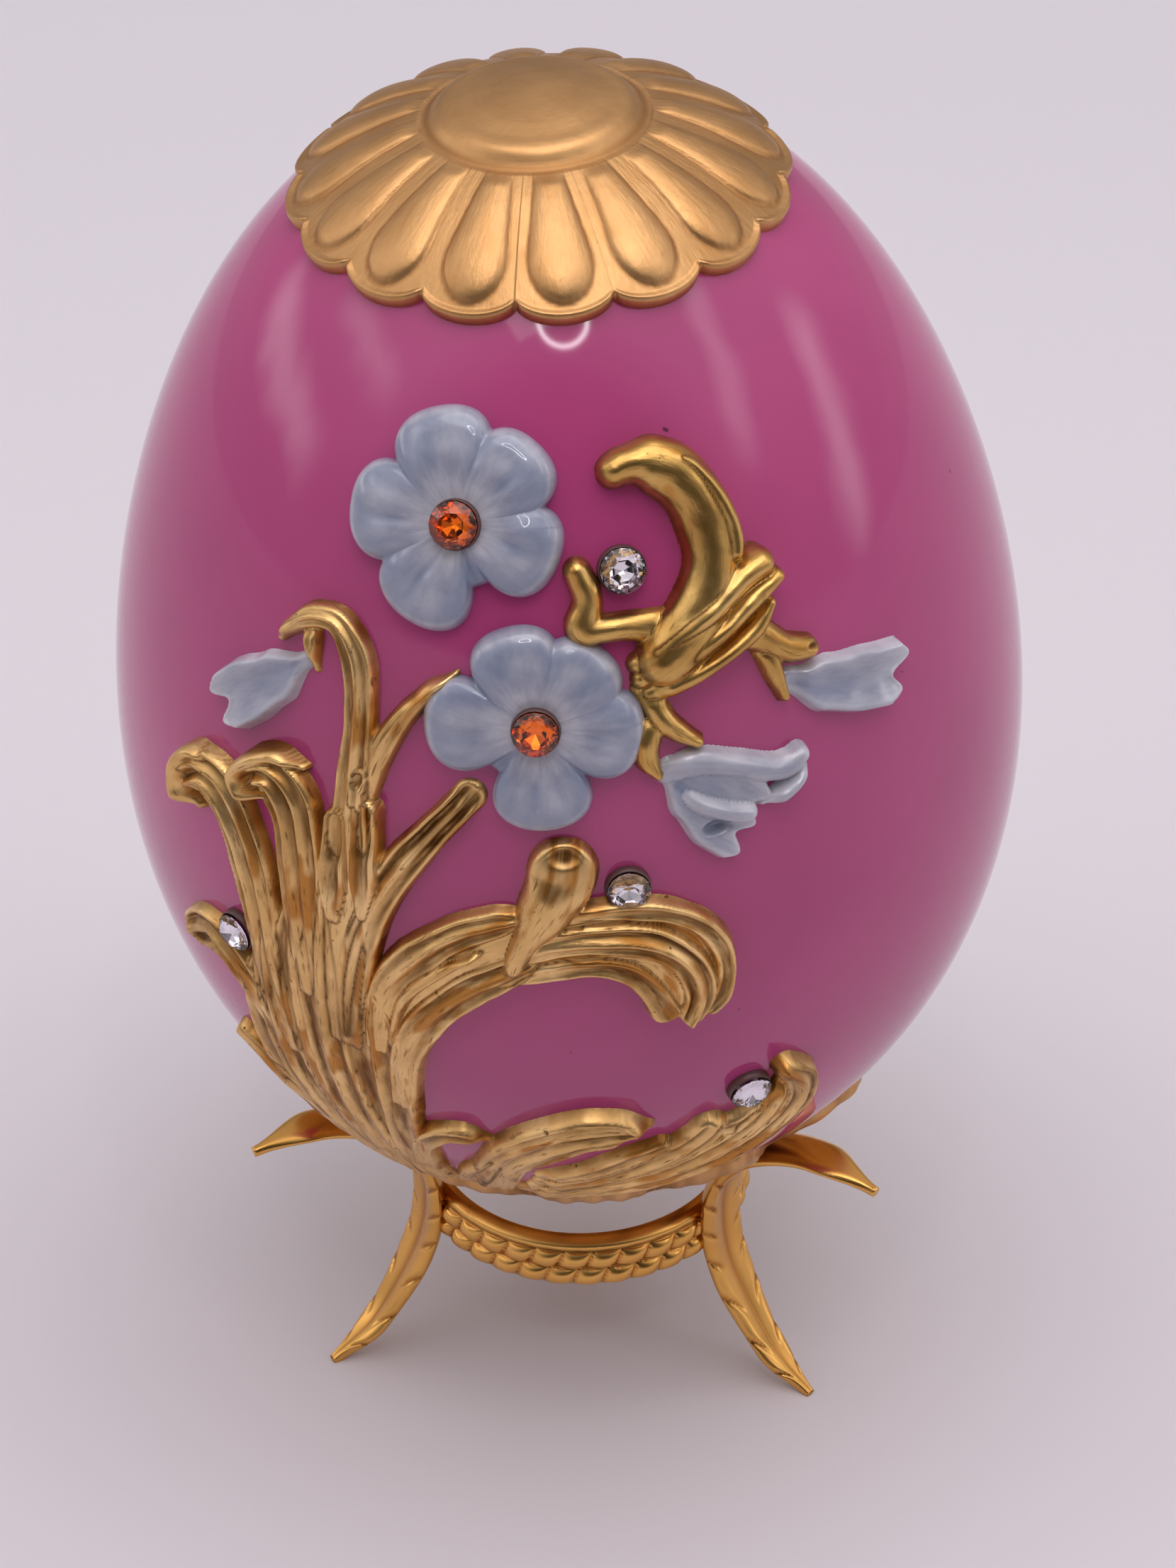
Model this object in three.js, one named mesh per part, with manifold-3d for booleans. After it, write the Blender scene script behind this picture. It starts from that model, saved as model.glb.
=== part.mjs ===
// Jewelled porcelain egg, standing in a gilt ring on three leaf-shaped legs.
// Millimetres, +Z up, the front faces -Y. The feet rest on Z = 0.

import * as THREE from 'three';
import ManifoldModule from 'manifold-3d';

const wasm = await ManifoldModule();
wasm.setup();

// ---------------------------------------------------------------- driving dimensions

// The egg is a turned form: a sphere stretched upright, with a taper towards its top.
const EGG_HALF_HEIGHT = 43.7;
const EGG_RADIUS = 32.4;
const EGG_TAPER = -0.094;
const EGG_FULLNESS = 0.013;
const EGG_SHOULDER = 0.068;
const EGG_CENTRE_HEIGHT = 62.68;
const EGG_OFF_AXIS = [-0.52, -1.76];
const EGG_LEAN_FORWARD = 6.6;
const EGG_LEAN_LEFT = 2.0;
const EGG_SEGMENTS = 38;
const EGG_RINGS = 15;

// Ornament is sunk this far below the glaze, so that it is one solid with the egg.
// A stroke's flanks slope out to this many times its half width where they end.
const ROOT_DEPTH = 0.7;
const ROOT_SPREAD = 1.15;

// A stroke's rounded end takes this share of its path and comes down to this share of its
// height. Stations move towards the ends by END_CROWDING, from none to one.
const END_REACH = 0.12;
const END_HEIGHT = 0.45;
const END_CROWDING = 0.35;
const FLUTE_DEPTH = 0.38;

// A stroke has one station more than it has points, up to this many, and then one for each.
const LONG_STROKE = 5;

// Gilt cap: a round boss in a rosette of tongues, with a scalloped rim.
const CAP_TONGUES = 16;
const CAP_TURN = -5.5;
const CAP_EDGE_LAT = 59.1;
const CAP_SCALLOP = 1.9;
const CAP_BOSS_LAT = 77.0;
const CAP_THICK = 0.55;
const CAP_TONGUE_RISE = 0.65;
const CAP_LIP = 0.35;

// Gilt calyx: a plain ring of leaves under the egg, which rests on the legs. Its leaves are
// short below the front ornament and taller round the back.
const CALYX_LEAVES = 14;
const CALYX_FRONT_LAT = -44;
const CALYX_BACK_LAT = -30;
const CALYX_NOTCH = 7;
const CALYX_THICK = 1.0;

// Flowers: five petals around a stone.
const FLOWER_RISE = 1.7;
const FLOWER_HEART = 1.0;
const PETAL_HALF_ANGLE = 43;

// Stones: round, cut with a flat table, each in a shallow round seat.
const STONE_SIDES = 8;
const STONE_CROWN = 0.55;
const STONE_GIRDLE = 0.2;
const STONE_PAVILION = 0.5;
const STONE_TABLE = 0.55;
const SEAT_GAP = 0.25;
const SEAT_SIDES = 16;

// Stand: a ring with two rows of beads, and three legs outside it.
const RING_INNER = 11.6;
const RING_TOP = 15.8;
const RING_SHOULDER = 13.0;
const RING_BAND = 0.8;
const RING_BOTTOM = 11.7;
const BEADS = 36;
const BEAD_RISE = 0.5;
const LEG_COUNT = 3;
const STAND_TURN = -7.0;
const LEG_THICK = 1.7;
const LEG_GROOVE = 0.5;
const LEG_STATIONS = 14;
const JOINT_GAP = 0.3;

// The leg's outer face, from the foot over the ring to the horn: distance out, height.
// LEG_HALVES is half the leg's width at each of these points.
const LEG_LINE = [
  [22.3, 0.2], [18.5, 3.6], [15.1, 9.5], [14.1, 14.2], [14.8, 18.6], [17.7, 22.2], [22.4, 24.0], [27.2, 23.2],
];
const LEG_HALVES = [0.45, 1.6, 2.25, 2.4, 2.35, 2.2, 1.8, 0.4];

// Ornament strokes. path is [degrees round from the front, degrees up from the girth], and halves
// is half the width at each of its points. high is the rise above the glaze, in millimetres.
// A stroke with flutes has hollows between ridges, and one without is round. lobe rounds the
// far end, blunt the near one, and curl lifts the far end.
const GILT_STROKES = [
  // The trunk at the lower left, and the leaves that fan out of it.
  { path: [[-33, -42], [-38.5, -32], [-41.3, -22], [-41.6, -13], [-39.5, -5]],
    halves: [1.4, 1.8, 1.75, 1.5, 0.6], high: 0.95, flutes: 1 },
  { path: [[-31.5, -42], [-36, -31], [-38.2, -20], [-38.4, -9], [-37.6, 0]],
    halves: [1.4, 1.8, 1.8, 1.6, 0.6], high: 1.15, flutes: 1 },
  { path: [[-30, -42], [-33, -30], [-34.6, -18], [-34.4, -6], [-33.2, 4]],
    halves: [1.4, 1.8, 1.9, 1.8, 0.7], high: 1.0, flutes: 1 },
  { path: [[-28.5, -42], [-30, -30], [-31, -18], [-30.6, -6], [-28.8, 6]],
    halves: [1.4, 1.7, 1.9, 1.9, 0.8], high: 1.25, flutes: 1 },
  { path: [[-27, -42], [-27, -30], [-27, -19], [-26.6, -8], [-24.6, 2]],
    halves: [1.4, 1.6, 1.7, 1.6, 0.6], high: 0.9, flutes: 1 },
  { path: [[-25, -42], [-24.4, -30], [-23.2, -20], [-22.8, -11], [-23.6, -4.5]],
    halves: [1.4, 1.5, 1.55, 1.4, 0.5], high: 1.15, flutes: 1 },
  { path: [[-36.5, -19], [-38, -8], [-38.7, 0], [-40.5, 5.6], [-43.7, 9.4], [-47.5, 10.6], [-51, 8.8]],
    halves: [0.8, 1.4, 1.7, 1.9, 1.95, 1.8, 1.5], high: 1.35, flutes: 2, curl: 0.35, lobe: true },
  { path: [[-31.4, -9], [-32.0, 1], [-32.3, 8], [-33.6, 12.0], [-36.6, 13.9], [-40.0, 12.8]],
    halves: [1.3, 1.7, 1.85, 2.1, 1.7, 1.0], high: 1.5, flutes: 2, curl: 0.3 },
  { path: [[-28.8, -14], [-27.2, -2], [-26.0, 7], [-25.3, 15], [-24.9, 21.5], [-25.7, 26.4], [-28.6, 29.4],
    [-32.4, 29.6], [-37.6, 26.4]],
    halves: [1.6, 2.0, 2.0, 1.3, 1.15, 1.1, 1.0, 0.85, 0.3], high: 1.4, flutes: 1, curl: 0.2 },
  { path: [[-33.4, 29.0], [-32.8, 27], [-31.8, 24.7]], halves: [0.7, 0.65, 0.3], high: 1.0 },
  { path: [[-27.6, 1], [-27.2, 7], [-26.9, 13.2]], halves: [0.7, 1.15, 1.0], high: 2.0, lobe: true },
  { path: [[-23.9, 2], [-23.5, 8], [-23.4, 14.6]], halves: [0.6, 1.1, 0.9], high: 1.9, lobe: true },
  { path: [[-24.3, 13.5], [-22.3, 18.5], [-19.6, 22.2], [-16.2, 25], [-12.7, 27]],
    halves: [0.85, 0.9, 0.8, 0.65, 0.2], high: 1.15, flutes: 1 },
  { path: [[-28, -13], [-26, -4], [-23, 3.4], [-19.4, 8.6], [-15.4, 12.5], [-11.0, 16.2]],
    halves: [1.1, 1.4, 1.4, 1.3, 1.2, 1.05], high: 1.3, flutes: 1 },
  { path: [[-38, -19], [-41, -12.5], [-44.8, -8.6], [-49, -7.8], [-53.6, -10.0]],
    halves: [1.0, 1.5, 1.75, 1.75, 1.5], high: 1.2, flutes: 1, lobe: true },
  { path: [[-38, -33], [-43, -27], [-46, -23.6], [-49.5, -21.8]], halves: [1.2, 1.7, 1.6, 1.0], high: 1.1,
    flutes: 1, lobe: true },
  // The scroll across the middle, with its knob.
  { path: [[-24.6, -14], [-22.4, -5.6], [-18.6, -1], [-13.6, 2.4], [-8.6, 4.2], [-4.6, 5]],
    halves: [1.0, 1.35, 1.5, 1.35, 1.1, 0.6], high: 1.2, flutes: 1 },
  { path: [[-22.6, -22], [-20.6, -13], [-17, -7.2], [-12.2, -3.2], [-7, -0.5], [-3, 1.2]],
    halves: [1.2, 1.3, 1.45, 1.5, 1.3, 0.7], high: 1.35, flutes: 1 },
  { path: [[-10.4, -2.2], [-2.6, -0.5], [2.5, -0.1], [6.4, -1.2], [8.9, -3.8], [10.6, -7.2]],
    halves: [0.6, 0.9, 0.95, 1.0, 1.1, 1.1], high: 1.4, lobe: true },
  { path: [[-8, 0.4], [-2.4, 2.4], [3.5, 2.8], [9, 1.9], [12.7, -0.8], [13.9, -4.2], [12.2, -7.4]],
    halves: [0.7, 1.2, 1.3, 1.35, 1.3, 1.2, 1.0], high: 1.7, flutes: 1, lobe: true, curl: 0.2 },
  { path: [[-5, 4.2], [1, 5.2], [6, 5.3], [11, 4.5], [15, 2.3], [17, -1], [16.4, -4.8], [13.6, -7.4]],
    halves: [0.5, 0.75, 0.8, 0.85, 0.85, 0.9, 0.9, 0.6], high: 1.45, curl: 0.2 },
  { path: [[-7.4, -1.4], [-5.4, 2.4], [-2.6, 6], [-0.7, 8.9], [-0.3, 11.9]],
    halves: [0.6, 1.0, 1.8, 2.35, 2.1], high: 2.0, lobe: true },
  // The leaves along the bottom.
  { path: [[-15, -41], [-12, -32], [-7.5, -26.9], [-2.5, -24.2], [3, -23.2], [8.4, -23.2]],
    halves: [1.4, 2.0, 2.3, 2.3, 1.8, 0.25], high: 1.1, flutes: 3 },
  { path: [[-15.4, -32], [-11.4, -26.2], [-6.4, -22.9], [-1, -20.9], [4, -21], [8.2, -22.9]],
    halves: [0.4, 0.6, 0.75, 0.8, 0.65, 0.2], high: 1.6 },
  { path: [[-24, -37], [-22.4, -29.5], [-19.5, -25.9], [-16, -24.7], [-12.6, -25.6]],
    halves: [1.2, 1.0, 1.0, 0.95, 0.4], high: 1.25 },
  { path: [[-10, -41.5], [2, -39.8], [13, -36.8], [22, -32.2], [27.6, -26.8], [27.8, -21.4], [23.6, -16.6]],
    halves: [1.1, 1.3, 1.4, 1.6, 1.6, 1.3, 1.0], high: 1.15, flutes: 1, lobe: true, curl: 0.5 },
  { path: [[-8, -39.6], [2, -36.4], [11, -33.2], [18.5, -29.2], [23.6, -24.8], [25.6, -20]],
    halves: [1.0, 1.2, 1.35, 1.4, 1.25, 0.6], high: 1.35, flutes: 1 },
  { path: [[-7, -37.4], [1, -34.2], [8, -30.9], [14.2, -27.2], [16.8, -23]],
    halves: [0.9, 1.15, 1.3, 1.5, 1.4], high: 1.25, flutes: 1, lobe: true },
  { path: [[-6.5, -35], [0, -32.2], [5.5, -29.2], [10.8, -26.8]], halves: [0.8, 0.95, 1.0, 0.8], high: 1.05,
    lobe: true },
  // The branch at the upper right, with its horn and twigs.
  { path: [[8.0, 43.9], [12, 44.9], [16.3, 44.6], [20.2, 42.7], [22.3, 39.2], [22.0, 35.2], [19.4, 31.4],
    [15.2, 28.4], [10.4, 26.1]],
    halves: [0.9, 1.25, 1.75, 1.95, 1.85, 1.75, 1.9, 2.1, 1.6], high: 2.3, blunt: true, lobe: true },
  { path: [[10.2, 27.4], [15, 29.4], [20, 31.2], [25, 33.2], [29.8, 34.0]],
    halves: [0.7, 0.9, 1.0, 1.15, 1.1], high: 2.6, lobe: true },
  { path: [[10.4, 25.8], [15.8, 27.2], [21, 29], [26, 31], [31, 32.6]],
    halves: [0.8, 1.2, 1.3, 1.2, 0.8], high: 2.1, lobe: true },
  { path: [[15, 29.9], [9.8, 30.7], [6, 30.8], [3.9, 31.2], [4.5, 33.8], [2.8, 37]],
    halves: [1.3, 0.95, 0.95, 1.25, 0.95, 0.8], high: 1.3, lobe: true },
  { path: [[22.5, 28.6], [26.4, 27.3], [29.8, 25.3], [33.8, 24.4]], halves: [1.4, 1.15, 0.95, 0.8], high: 1.3,
    lobe: true },
  { path: [[26.6, 27.0], [27.3, 24.2], [28.2, 20.9]], halves: [0.9, 0.75, 0.35], high: 1.0, lobe: true },
  { path: [[11, 25.2], [12.2, 22.6], [14, 21], [16.9, 19.4]], halves: [1.0, 0.85, 0.75, 0.5], high: 1.1,
    lobe: true },
  { path: [[12.4, 22.8], [10.5, 21], [10.1, 19], [11.4, 17.1]], halves: [0.8, 0.95, 0.85, 0.35], high: 1.1,
    lobe: true },
];

// Bell flowers: strokes that flare to a notched mouth. notch is cut back by that share of the path.
const BELL_STROKES = [
  { path: [[-33.4, 25.2], [-37.6, 22.6], [-41.8, 20.2], [-46.4, 17.2]], halves: [0.35, 1.45, 2.05, 2.1],
    high: 1.0, notch: 0.14, flutes: 1 },
  { path: [[30.2, 21.9], [35, 20.8], [40, 19.5], [46.6, 18.0]], halves: [0.6, 1.6, 2.0, 2.2], high: 1.0,
    notch: 0.13, flutes: 1 },
  { path: [[12.9, 18.0], [15.8, 15.8], [19.2, 13.2], [22.8, 10.6]], halves: [0.9, 2.3, 3.0, 3.3], high: 1.2,
    notch: 0.12, flutes: 3 },
  { path: [[18.5, 16.9], [24.6, 15.9], [29.8, 14.9]], halves: [0.7, 0.85, 0.3], high: 1.25 },
];

// Flowers: place, and each petal's direction in degrees from east and its length.
const FLOWERS = [
  { at: [-13.3, 40.2], petals: [[107, 7.6], [47, 7.0], [-20, 6.6], [-114, 6.9], [178, 7.3]] },
  { at: [-2.8, 22.6], petals: [[106, 6.7], [48, 6.5], [-8, 6.5], [-92, 6.5], [183, 6.7]] },
];

// Stones: node name, place, diameter, seat height above the glaze, and colour.
const STONES = [
  { name: 'amber_stone_upper', at: [-13.3, 40.2], across: 3.0, seat: 1.0, amber: true },
  { name: 'amber_stone_lower', at: [-2.8, 22.6], across: 2.9, seat: 1.0, amber: true },
  { name: 'clear_stone_top', at: [9.6, 35.7], across: 2.85, seat: 0.2 },
  { name: 'clear_stone_middle', at: [6.7, 7.2], across: 2.75, seat: 0.4 },
  { name: 'clear_stone_left', at: [-43.4, -5.3], across: 2.8, seat: 0.5 },
  { name: 'clear_stone_right', at: [20.8, -20.4], across: 2.9, seat: 0.3 },
];

// ---------------------------------------------------------------- small helpers

const rad = THREE.MathUtils.degToRad;
const mix = THREE.MathUtils.lerp;
const smooth = (x) => THREE.MathUtils.smoothstep(x, 0, 1);
const range = (count) => Array.from({ length: count }, (_, i) => i);

// Joins equal loops of points into one closed solid. The ends are closed by fans.
function loft(loops, { ring = false } = {}) {
  const size = loops[0].length;
  const points = loops.flat();
  const faces = [];
  const spans = ring ? loops.length : loops.length - 1;
  for (const row of range(spans)) {
    const near = row * size;
    const far = ((row + 1) % loops.length) * size;
    for (const i of range(size)) {
      const j = (i + 1) % size;
      faces.push([near + i, near + j, far + j], [near + i, far + j, far + i]);
    }
  }
  if (!ring) {
    for (const [row, flip] of [[0, true], [loops.length - 1, false]]) {
      const hub = points.length;
      const centre = loops[row].reduce((sum, p) => sum.add(p), new THREE.Vector3());
      points.push(centre.divideScalar(size));
      for (const i of range(size)) {
        const a = row * size + i;
        const b = row * size + (i + 1) % size;
        faces.push(flip ? [hub, b, a] : [hub, a, b]);
      }
    }
  }
  return solidFrom(points, faces);
}

// Makes a manifold solid, turned outside out if its faces wind inward.
function solidFrom(points, faces) {
  let volume = 0;
  for (const [a, b, c] of faces) {
    volume += points[a].dot(points[b].clone().cross(points[c]));
  }
  const outward = volume < 0 ? faces.map(([a, b, c]) => [a, c, b]) : faces;
  return new wasm.Manifold(new wasm.Mesh({
    numProp: 3,
    vertProperties: new Float32Array(points.flatMap((p) => [p.x, p.y, p.z])),
    triVerts: new Uint32Array(outward.flat()),
  }));
}

function geometryFrom(solid) {
  const mesh = solid.getMesh();
  const geometry = new THREE.BufferGeometry();
  geometry.setAttribute('position', new THREE.BufferAttribute(new Float32Array(mesh.vertProperties), 3));
  geometry.setIndex(new THREE.BufferAttribute(new Uint32Array(mesh.triVerts), 1));
  geometry.computeVertexNormals();
  return geometry;
}

// ---------------------------------------------------------------- the egg's surface

function radiusAt(lat) {
  const s = Math.sin(rad(lat));
  const profile = 1 + EGG_TAPER * s + EGG_FULLNESS * s ** 2 + EGG_SHOULDER * s ** 3;
  return EGG_RADIUS * Math.cos(rad(lat)) * profile;
}

// The meridian's direction at a latitude, as millimetres outward and upward for each degree.
function meridian(lat) {
  const out = (radiusAt(lat + 0.5) - radiusAt(lat - 0.5));
  const up = EGG_HALF_HEIGHT * (Math.sin(rad(lat + 0.5)) - Math.sin(rad(lat - 0.5)));
  return { out, up, length: Math.hypot(out, up) };
}

// A point lifted off the glaze, in the egg's own frame: az is round from the front, lat is up.
function onEgg(az, lat, lift = 0) {
  const slope = meridian(lat);
  const out = radiusAt(lat) + (lift * slope.up) / slope.length;
  const up = EGG_HALF_HEIGHT * Math.sin(rad(lat)) - (lift * slope.out) / slope.length;
  return new THREE.Vector3(out * Math.sin(rad(az)), -out * Math.cos(rad(az)), up);
}

// Moves over the surface by millimetres east and north.
function stepOnEgg([az, lat], east, north) {
  const newLat = lat + north / meridian(lat).length;
  return [az + east / rad(radiusAt((lat + newLat) / 2)), newLat];
}

function eggBody() {
  const loops = range(EGG_RINGS).map((i) => {
    const lat = mix(-86, 86, i / (EGG_RINGS - 1));
    return range(EGG_SEGMENTS).map((k) => onEgg((360 * k) / EGG_SEGMENTS, lat));
  });
  return loft(loops);
}

// ---------------------------------------------------------------- the ornament

// Half the width at a share of the path, eased from one point's value to the next.
function strokeHalfWidth({ halves, lobe, blunt }, t) {
  const place = t * (halves.length - 1);
  const i = Math.min(Math.floor(place), halves.length - 2);
  const half = mix(halves[i], halves[i + 1], smooth(place - i));
  return half * (lobe ? roundedEnd(1 - t) : 1) * (blunt ? roundedEnd(t) : 1);
}

// Falls from one to a fifth, as a quarter circle, close to the end of a stroke.
function roundedEnd(left, reach = END_REACH) {
  return left > reach ? 1 : Math.sqrt(Math.max(0.04, 1 - (1 - left / reach) ** 2));
}

// The top's height at a share of the path. Both ends come down to the glaze in a curve.
function strokeRise({ high, curl = 0 }, t) {
  const along = 0.75 + 0.25 * smooth(2 * t) + curl * smooth((t - 0.6) / 0.4);
  const ends = mix(END_HEIGHT, 1, roundedEnd(1 - t)) * mix(END_HEIGHT, 1, roundedEnd(t));
  return high * along * ends;
}

// The top's section: [across from -1 to 1, share of the height]. Ridges stand between the flutes.
function strokeSection(flutes = 0) {
  if (flutes === 0) return [[-0.65, 0.8], [0, 1], [0.65, 0.8]];
  const ridges = flutes > 2 ? 3 : 2;
  return range(2 * ridges - 1).map((k) => [
    mix(-0.82, 0.82, k / (2 * ridges - 2)),
    k % 2 === 0 ? 1 : 1 - FLUTE_DEPTH,
  ]);
}

// A raised ribbon that follows its path over the glaze, with its stations closer at the ends.
function strokeSolid(stroke) {
  const path = stroke.path.map(([az, lat]) => new THREE.Vector3(az, lat, 0));
  const curve = new THREE.CatmullRomCurve3(path, false, 'catmullrom', 0.5);
  const stations = Math.max(path.length, Math.min(path.length + 1, LONG_STROKE));
  const loops = range(stations).map((i) => {
    const even = i / (stations - 1);
    const t = mix(even, 0.5 - 0.5 * Math.cos(Math.PI * even), END_CROWDING);
    const half = strokeHalfWidth(stroke, t);
    const place = (across, lift) => {
      const cut = (stroke.notch ?? 0) * Math.max(0, 1 - Math.abs(across));
      const u = t * (1 - cut);
      const here = curve.getPoint(u);
      const ahead = curve.getPoint(Math.min(1, u + 0.01)).sub(curve.getPoint(Math.max(0, u - 0.01)));
      const heading = new THREE.Vector2(ahead.x * rad(radiusAt(here.y)), ahead.y * meridian(here.y).length);
      heading.normalize();
      const side = across * half;
      const [az, lat] = stepOnEgg([here.x, here.y], -heading.y * side, heading.x * side);
      return onEgg(az, lat, lift);
    };
    const rise = strokeRise(stroke, t);
    const top = strokeSection(stroke.flutes).map(([across, share]) => place(across, share * rise));
    return [place(-ROOT_SPREAD, -ROOT_DEPTH), ...top, place(ROOT_SPREAD, -ROOT_DEPTH)];
  });
  return loft(loops);
}

// The cap is a height above the glaze: along runs from the boss to the scalloped rim,
// and over runs across one tongue from -1 to 1.
function capRise(along, over) {
  const tongue = Math.sqrt(Math.max(0, 1 - (over / 0.85) ** 2)) * Math.sin(Math.PI * Math.min(1, along * 1.04));
  const lip = along > 0.9 ? CAP_LIP : 0;
  return CAP_THICK + CAP_TONGUE_RISE * tongue + lip;
}

function capSolid() {
  const perTongue = 4;
  const count = CAP_TONGUES * perTongue;
  const scallopedRing = (share, rise) => range(count).map((k) => {
    const over = -1 + (2 * (k % perTongue)) / perTongue;
    const az = CAP_TURN + (360 * k) / count;
    const edge = CAP_EDGE_LAT + CAP_SCALLOP * Math.abs(over) ** 2;
    return onEgg(az, mix(CAP_BOSS_LAT, edge, share), rise(over));
  });
  const plainRing = (lat, lift) => range(count).map((k) => onEgg(CAP_TURN + (360 * k) / count, lat, lift));
  return loft([
    plainRing(86, CAP_THICK + 0.6),
    plainRing(78.2, CAP_THICK),
    ...[0, 0.2, 0.6, 0.9, 1].map((share) => scallopedRing(share, (over) => capRise(share, over))),
    scallopedRing(1, () => -ROOT_DEPTH),
    plainRing(72, -2),
  ]);
}

// The calyx's leaf tips, as a latitude: highest at each leaf's middle.
function calyxEdge(az) {
  const tip = mix(CALYX_FRONT_LAT, CALYX_BACK_LAT, smooth((1 - Math.cos(rad(az))) / 2));
  const phase = Math.abs(Math.sin((rad(az) * CALYX_LEAVES) / 2));
  return tip - CALYX_NOTCH * phase ** 2;
}

function calyxSolid() {
  const perLeaf = 3;
  const count = CALYX_LEAVES * perLeaf;
  const azimuths = range(count).map((k) => (360 * k) / count);
  const plainRing = (lat, lift) => azimuths.map((az) => onEgg(az, lat, lift));
  const leafRing = (below, lift) => azimuths.map((az) => onEgg(az, calyxEdge(az) - below, lift));
  return loft([
    plainRing(-87, CALYX_THICK),
    plainRing(-70, CALYX_THICK),
    plainRing(-56, CALYX_THICK),
    leafRing(1.5, CALYX_THICK),
    leafRing(0, -ROOT_DEPTH),
    plainRing(-60, -2),
  ]);
}

// A flower's outline, as a distance from its stone in a direction.
function petalReach(flower, angle) {
  const reaches = flower.petals.map(([toward, length]) => {
    const turn = Math.abs(((angle - toward + 540) % 360) - 180) / PETAL_HALF_ANGLE;
    return length * Math.max(0, 1 - turn ** 2.4) ** 0.4;
  });
  return Math.max(4.0, ...reaches);
}

function flowerSolid(flower) {
  const directions = 30;
  const ring = (share, lift) => range(directions).map((k) => {
    const angle = (360 * k) / directions;
    const reach = share * petalReach(flower, angle);
    const valley = mix(1, 0.6 + 0.4 * smooth((petalReach(flower, angle) - 4) / 2), share);
    const [az, lat] = stepOnEgg(flower.at, reach * Math.cos(rad(angle)), reach * Math.sin(rad(angle)));
    return onEgg(az, lat, lift > 0 ? lift * valley : lift);
  });
  return loft([
    ring(0.1, FLOWER_HEART),
    ring(0.35, FLOWER_HEART + 0.3),
    ring(0.8, FLOWER_RISE),
    ring(1, 0.7),
    ring(1, -ROOT_DEPTH),
  ]);
}

// ---------------------------------------------------------------- the stones

// Circles round a stone's axis, at a height above the glaze.
function circleAt([az, lat], radius, lift, sides, turn = 0) {
  const centre = onEgg(az, lat, lift);
  const out = onEgg(az, lat, lift + 1).sub(centre);
  const east = new THREE.Vector3(Math.cos(rad(az)), Math.sin(rad(az)), 0);
  const north = out.clone().cross(east);
  return range(sides).map((k) => {
    const angle = rad((360 * k) / sides + turn);
    return centre.clone().addScaledVector(east, radius * Math.cos(angle)).addScaledVector(north, radius * Math.sin(angle));
  });
}

function stoneSolid({ at, across, seat }) {
  const radius = across / 2;
  const half = 180 / STONE_SIDES;
  return loft([
    circleAt(at, radius * STONE_TABLE, seat + STONE_GIRDLE + STONE_CROWN, STONE_SIDES, half),
    circleAt(at, radius, seat + STONE_GIRDLE, STONE_SIDES),
    circleAt(at, radius, seat, STONE_SIDES),
    circleAt(at, radius * 0.3, seat - STONE_PAVILION, STONE_SIDES, half),
  ]);
}

function seatCutter({ at, across, seat }) {
  const radius = across / 2 + SEAT_GAP;
  return loft([
    circleAt(at, radius, seat + 3, SEAT_SIDES),
    circleAt(at, radius, seat - SEAT_GAP, SEAT_SIDES),
    circleAt(at, radius * 0.4, seat - STONE_PAVILION - SEAT_GAP, SEAT_SIDES),
  ]);
}

// ---------------------------------------------------------------- the stand

// The leg's section at a share of its length from the foot, grown by a clearance.
function legLoops(azimuth, grow) {
  const line = LEG_LINE.map(([out, up]) => new THREE.Vector3(out, 0, up));
  const curve = new THREE.CatmullRomCurve3(line, false, 'centripetal');
  return range(LEG_STATIONS).map((i) => {
    const t = i / (LEG_STATIONS - 1);
    const here = curve.getPoint(t);
    const ahead = curve.getTangent(t);
    const inward = new THREE.Vector3(-ahead.z, 0, ahead.x);
    const toHorn = smooth((t - 0.45) / 0.55);
    const half = grow + strokeHalfWidth({ halves: LEG_HALVES }, t);
    const thick = LEG_THICK * mix(0.5, 1, Math.sin(Math.PI * t)) * mix(1, 0.8, toHorn);
    const groove = LEG_GROOVE * Math.sin(Math.PI * t);
    // Across the leg and inward from its outer face: rounded edges, a groove down the outside.
    const section = [
      [-1, 0.35 * thick], [-0.72, -grow], [0, groove - grow], [0.72, -grow],
      [1, 0.35 * thick], [0.7, thick + grow], [-0.7, thick + grow],
    ];
    return section.map(([side, depth]) => {
      const point = here.clone().addScaledVector(inward, depth).add(new THREE.Vector3(0, side * half, 0));
      return point.applyAxisAngle(new THREE.Vector3(0, 0, 1), azimuth);
    });
  });
}

// Everything below the ground line is cut away, which leaves each foot a small flat.
function belowGround() {
  const square = [[-60, -60], [60, -60], [60, 60], [-60, 60]];
  return loft([-9, 0].map((z) => square.map(([x, y]) => new THREE.Vector3(x, y, z))));
}

function legAzimuth(index) {
  return rad(STAND_TURN - 150 + (360 * index) / LEG_COUNT);
}

function legSolid(index) {
  return loft(legLoops(legAzimuth(index), 0)).subtract(belowGround());
}

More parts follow.
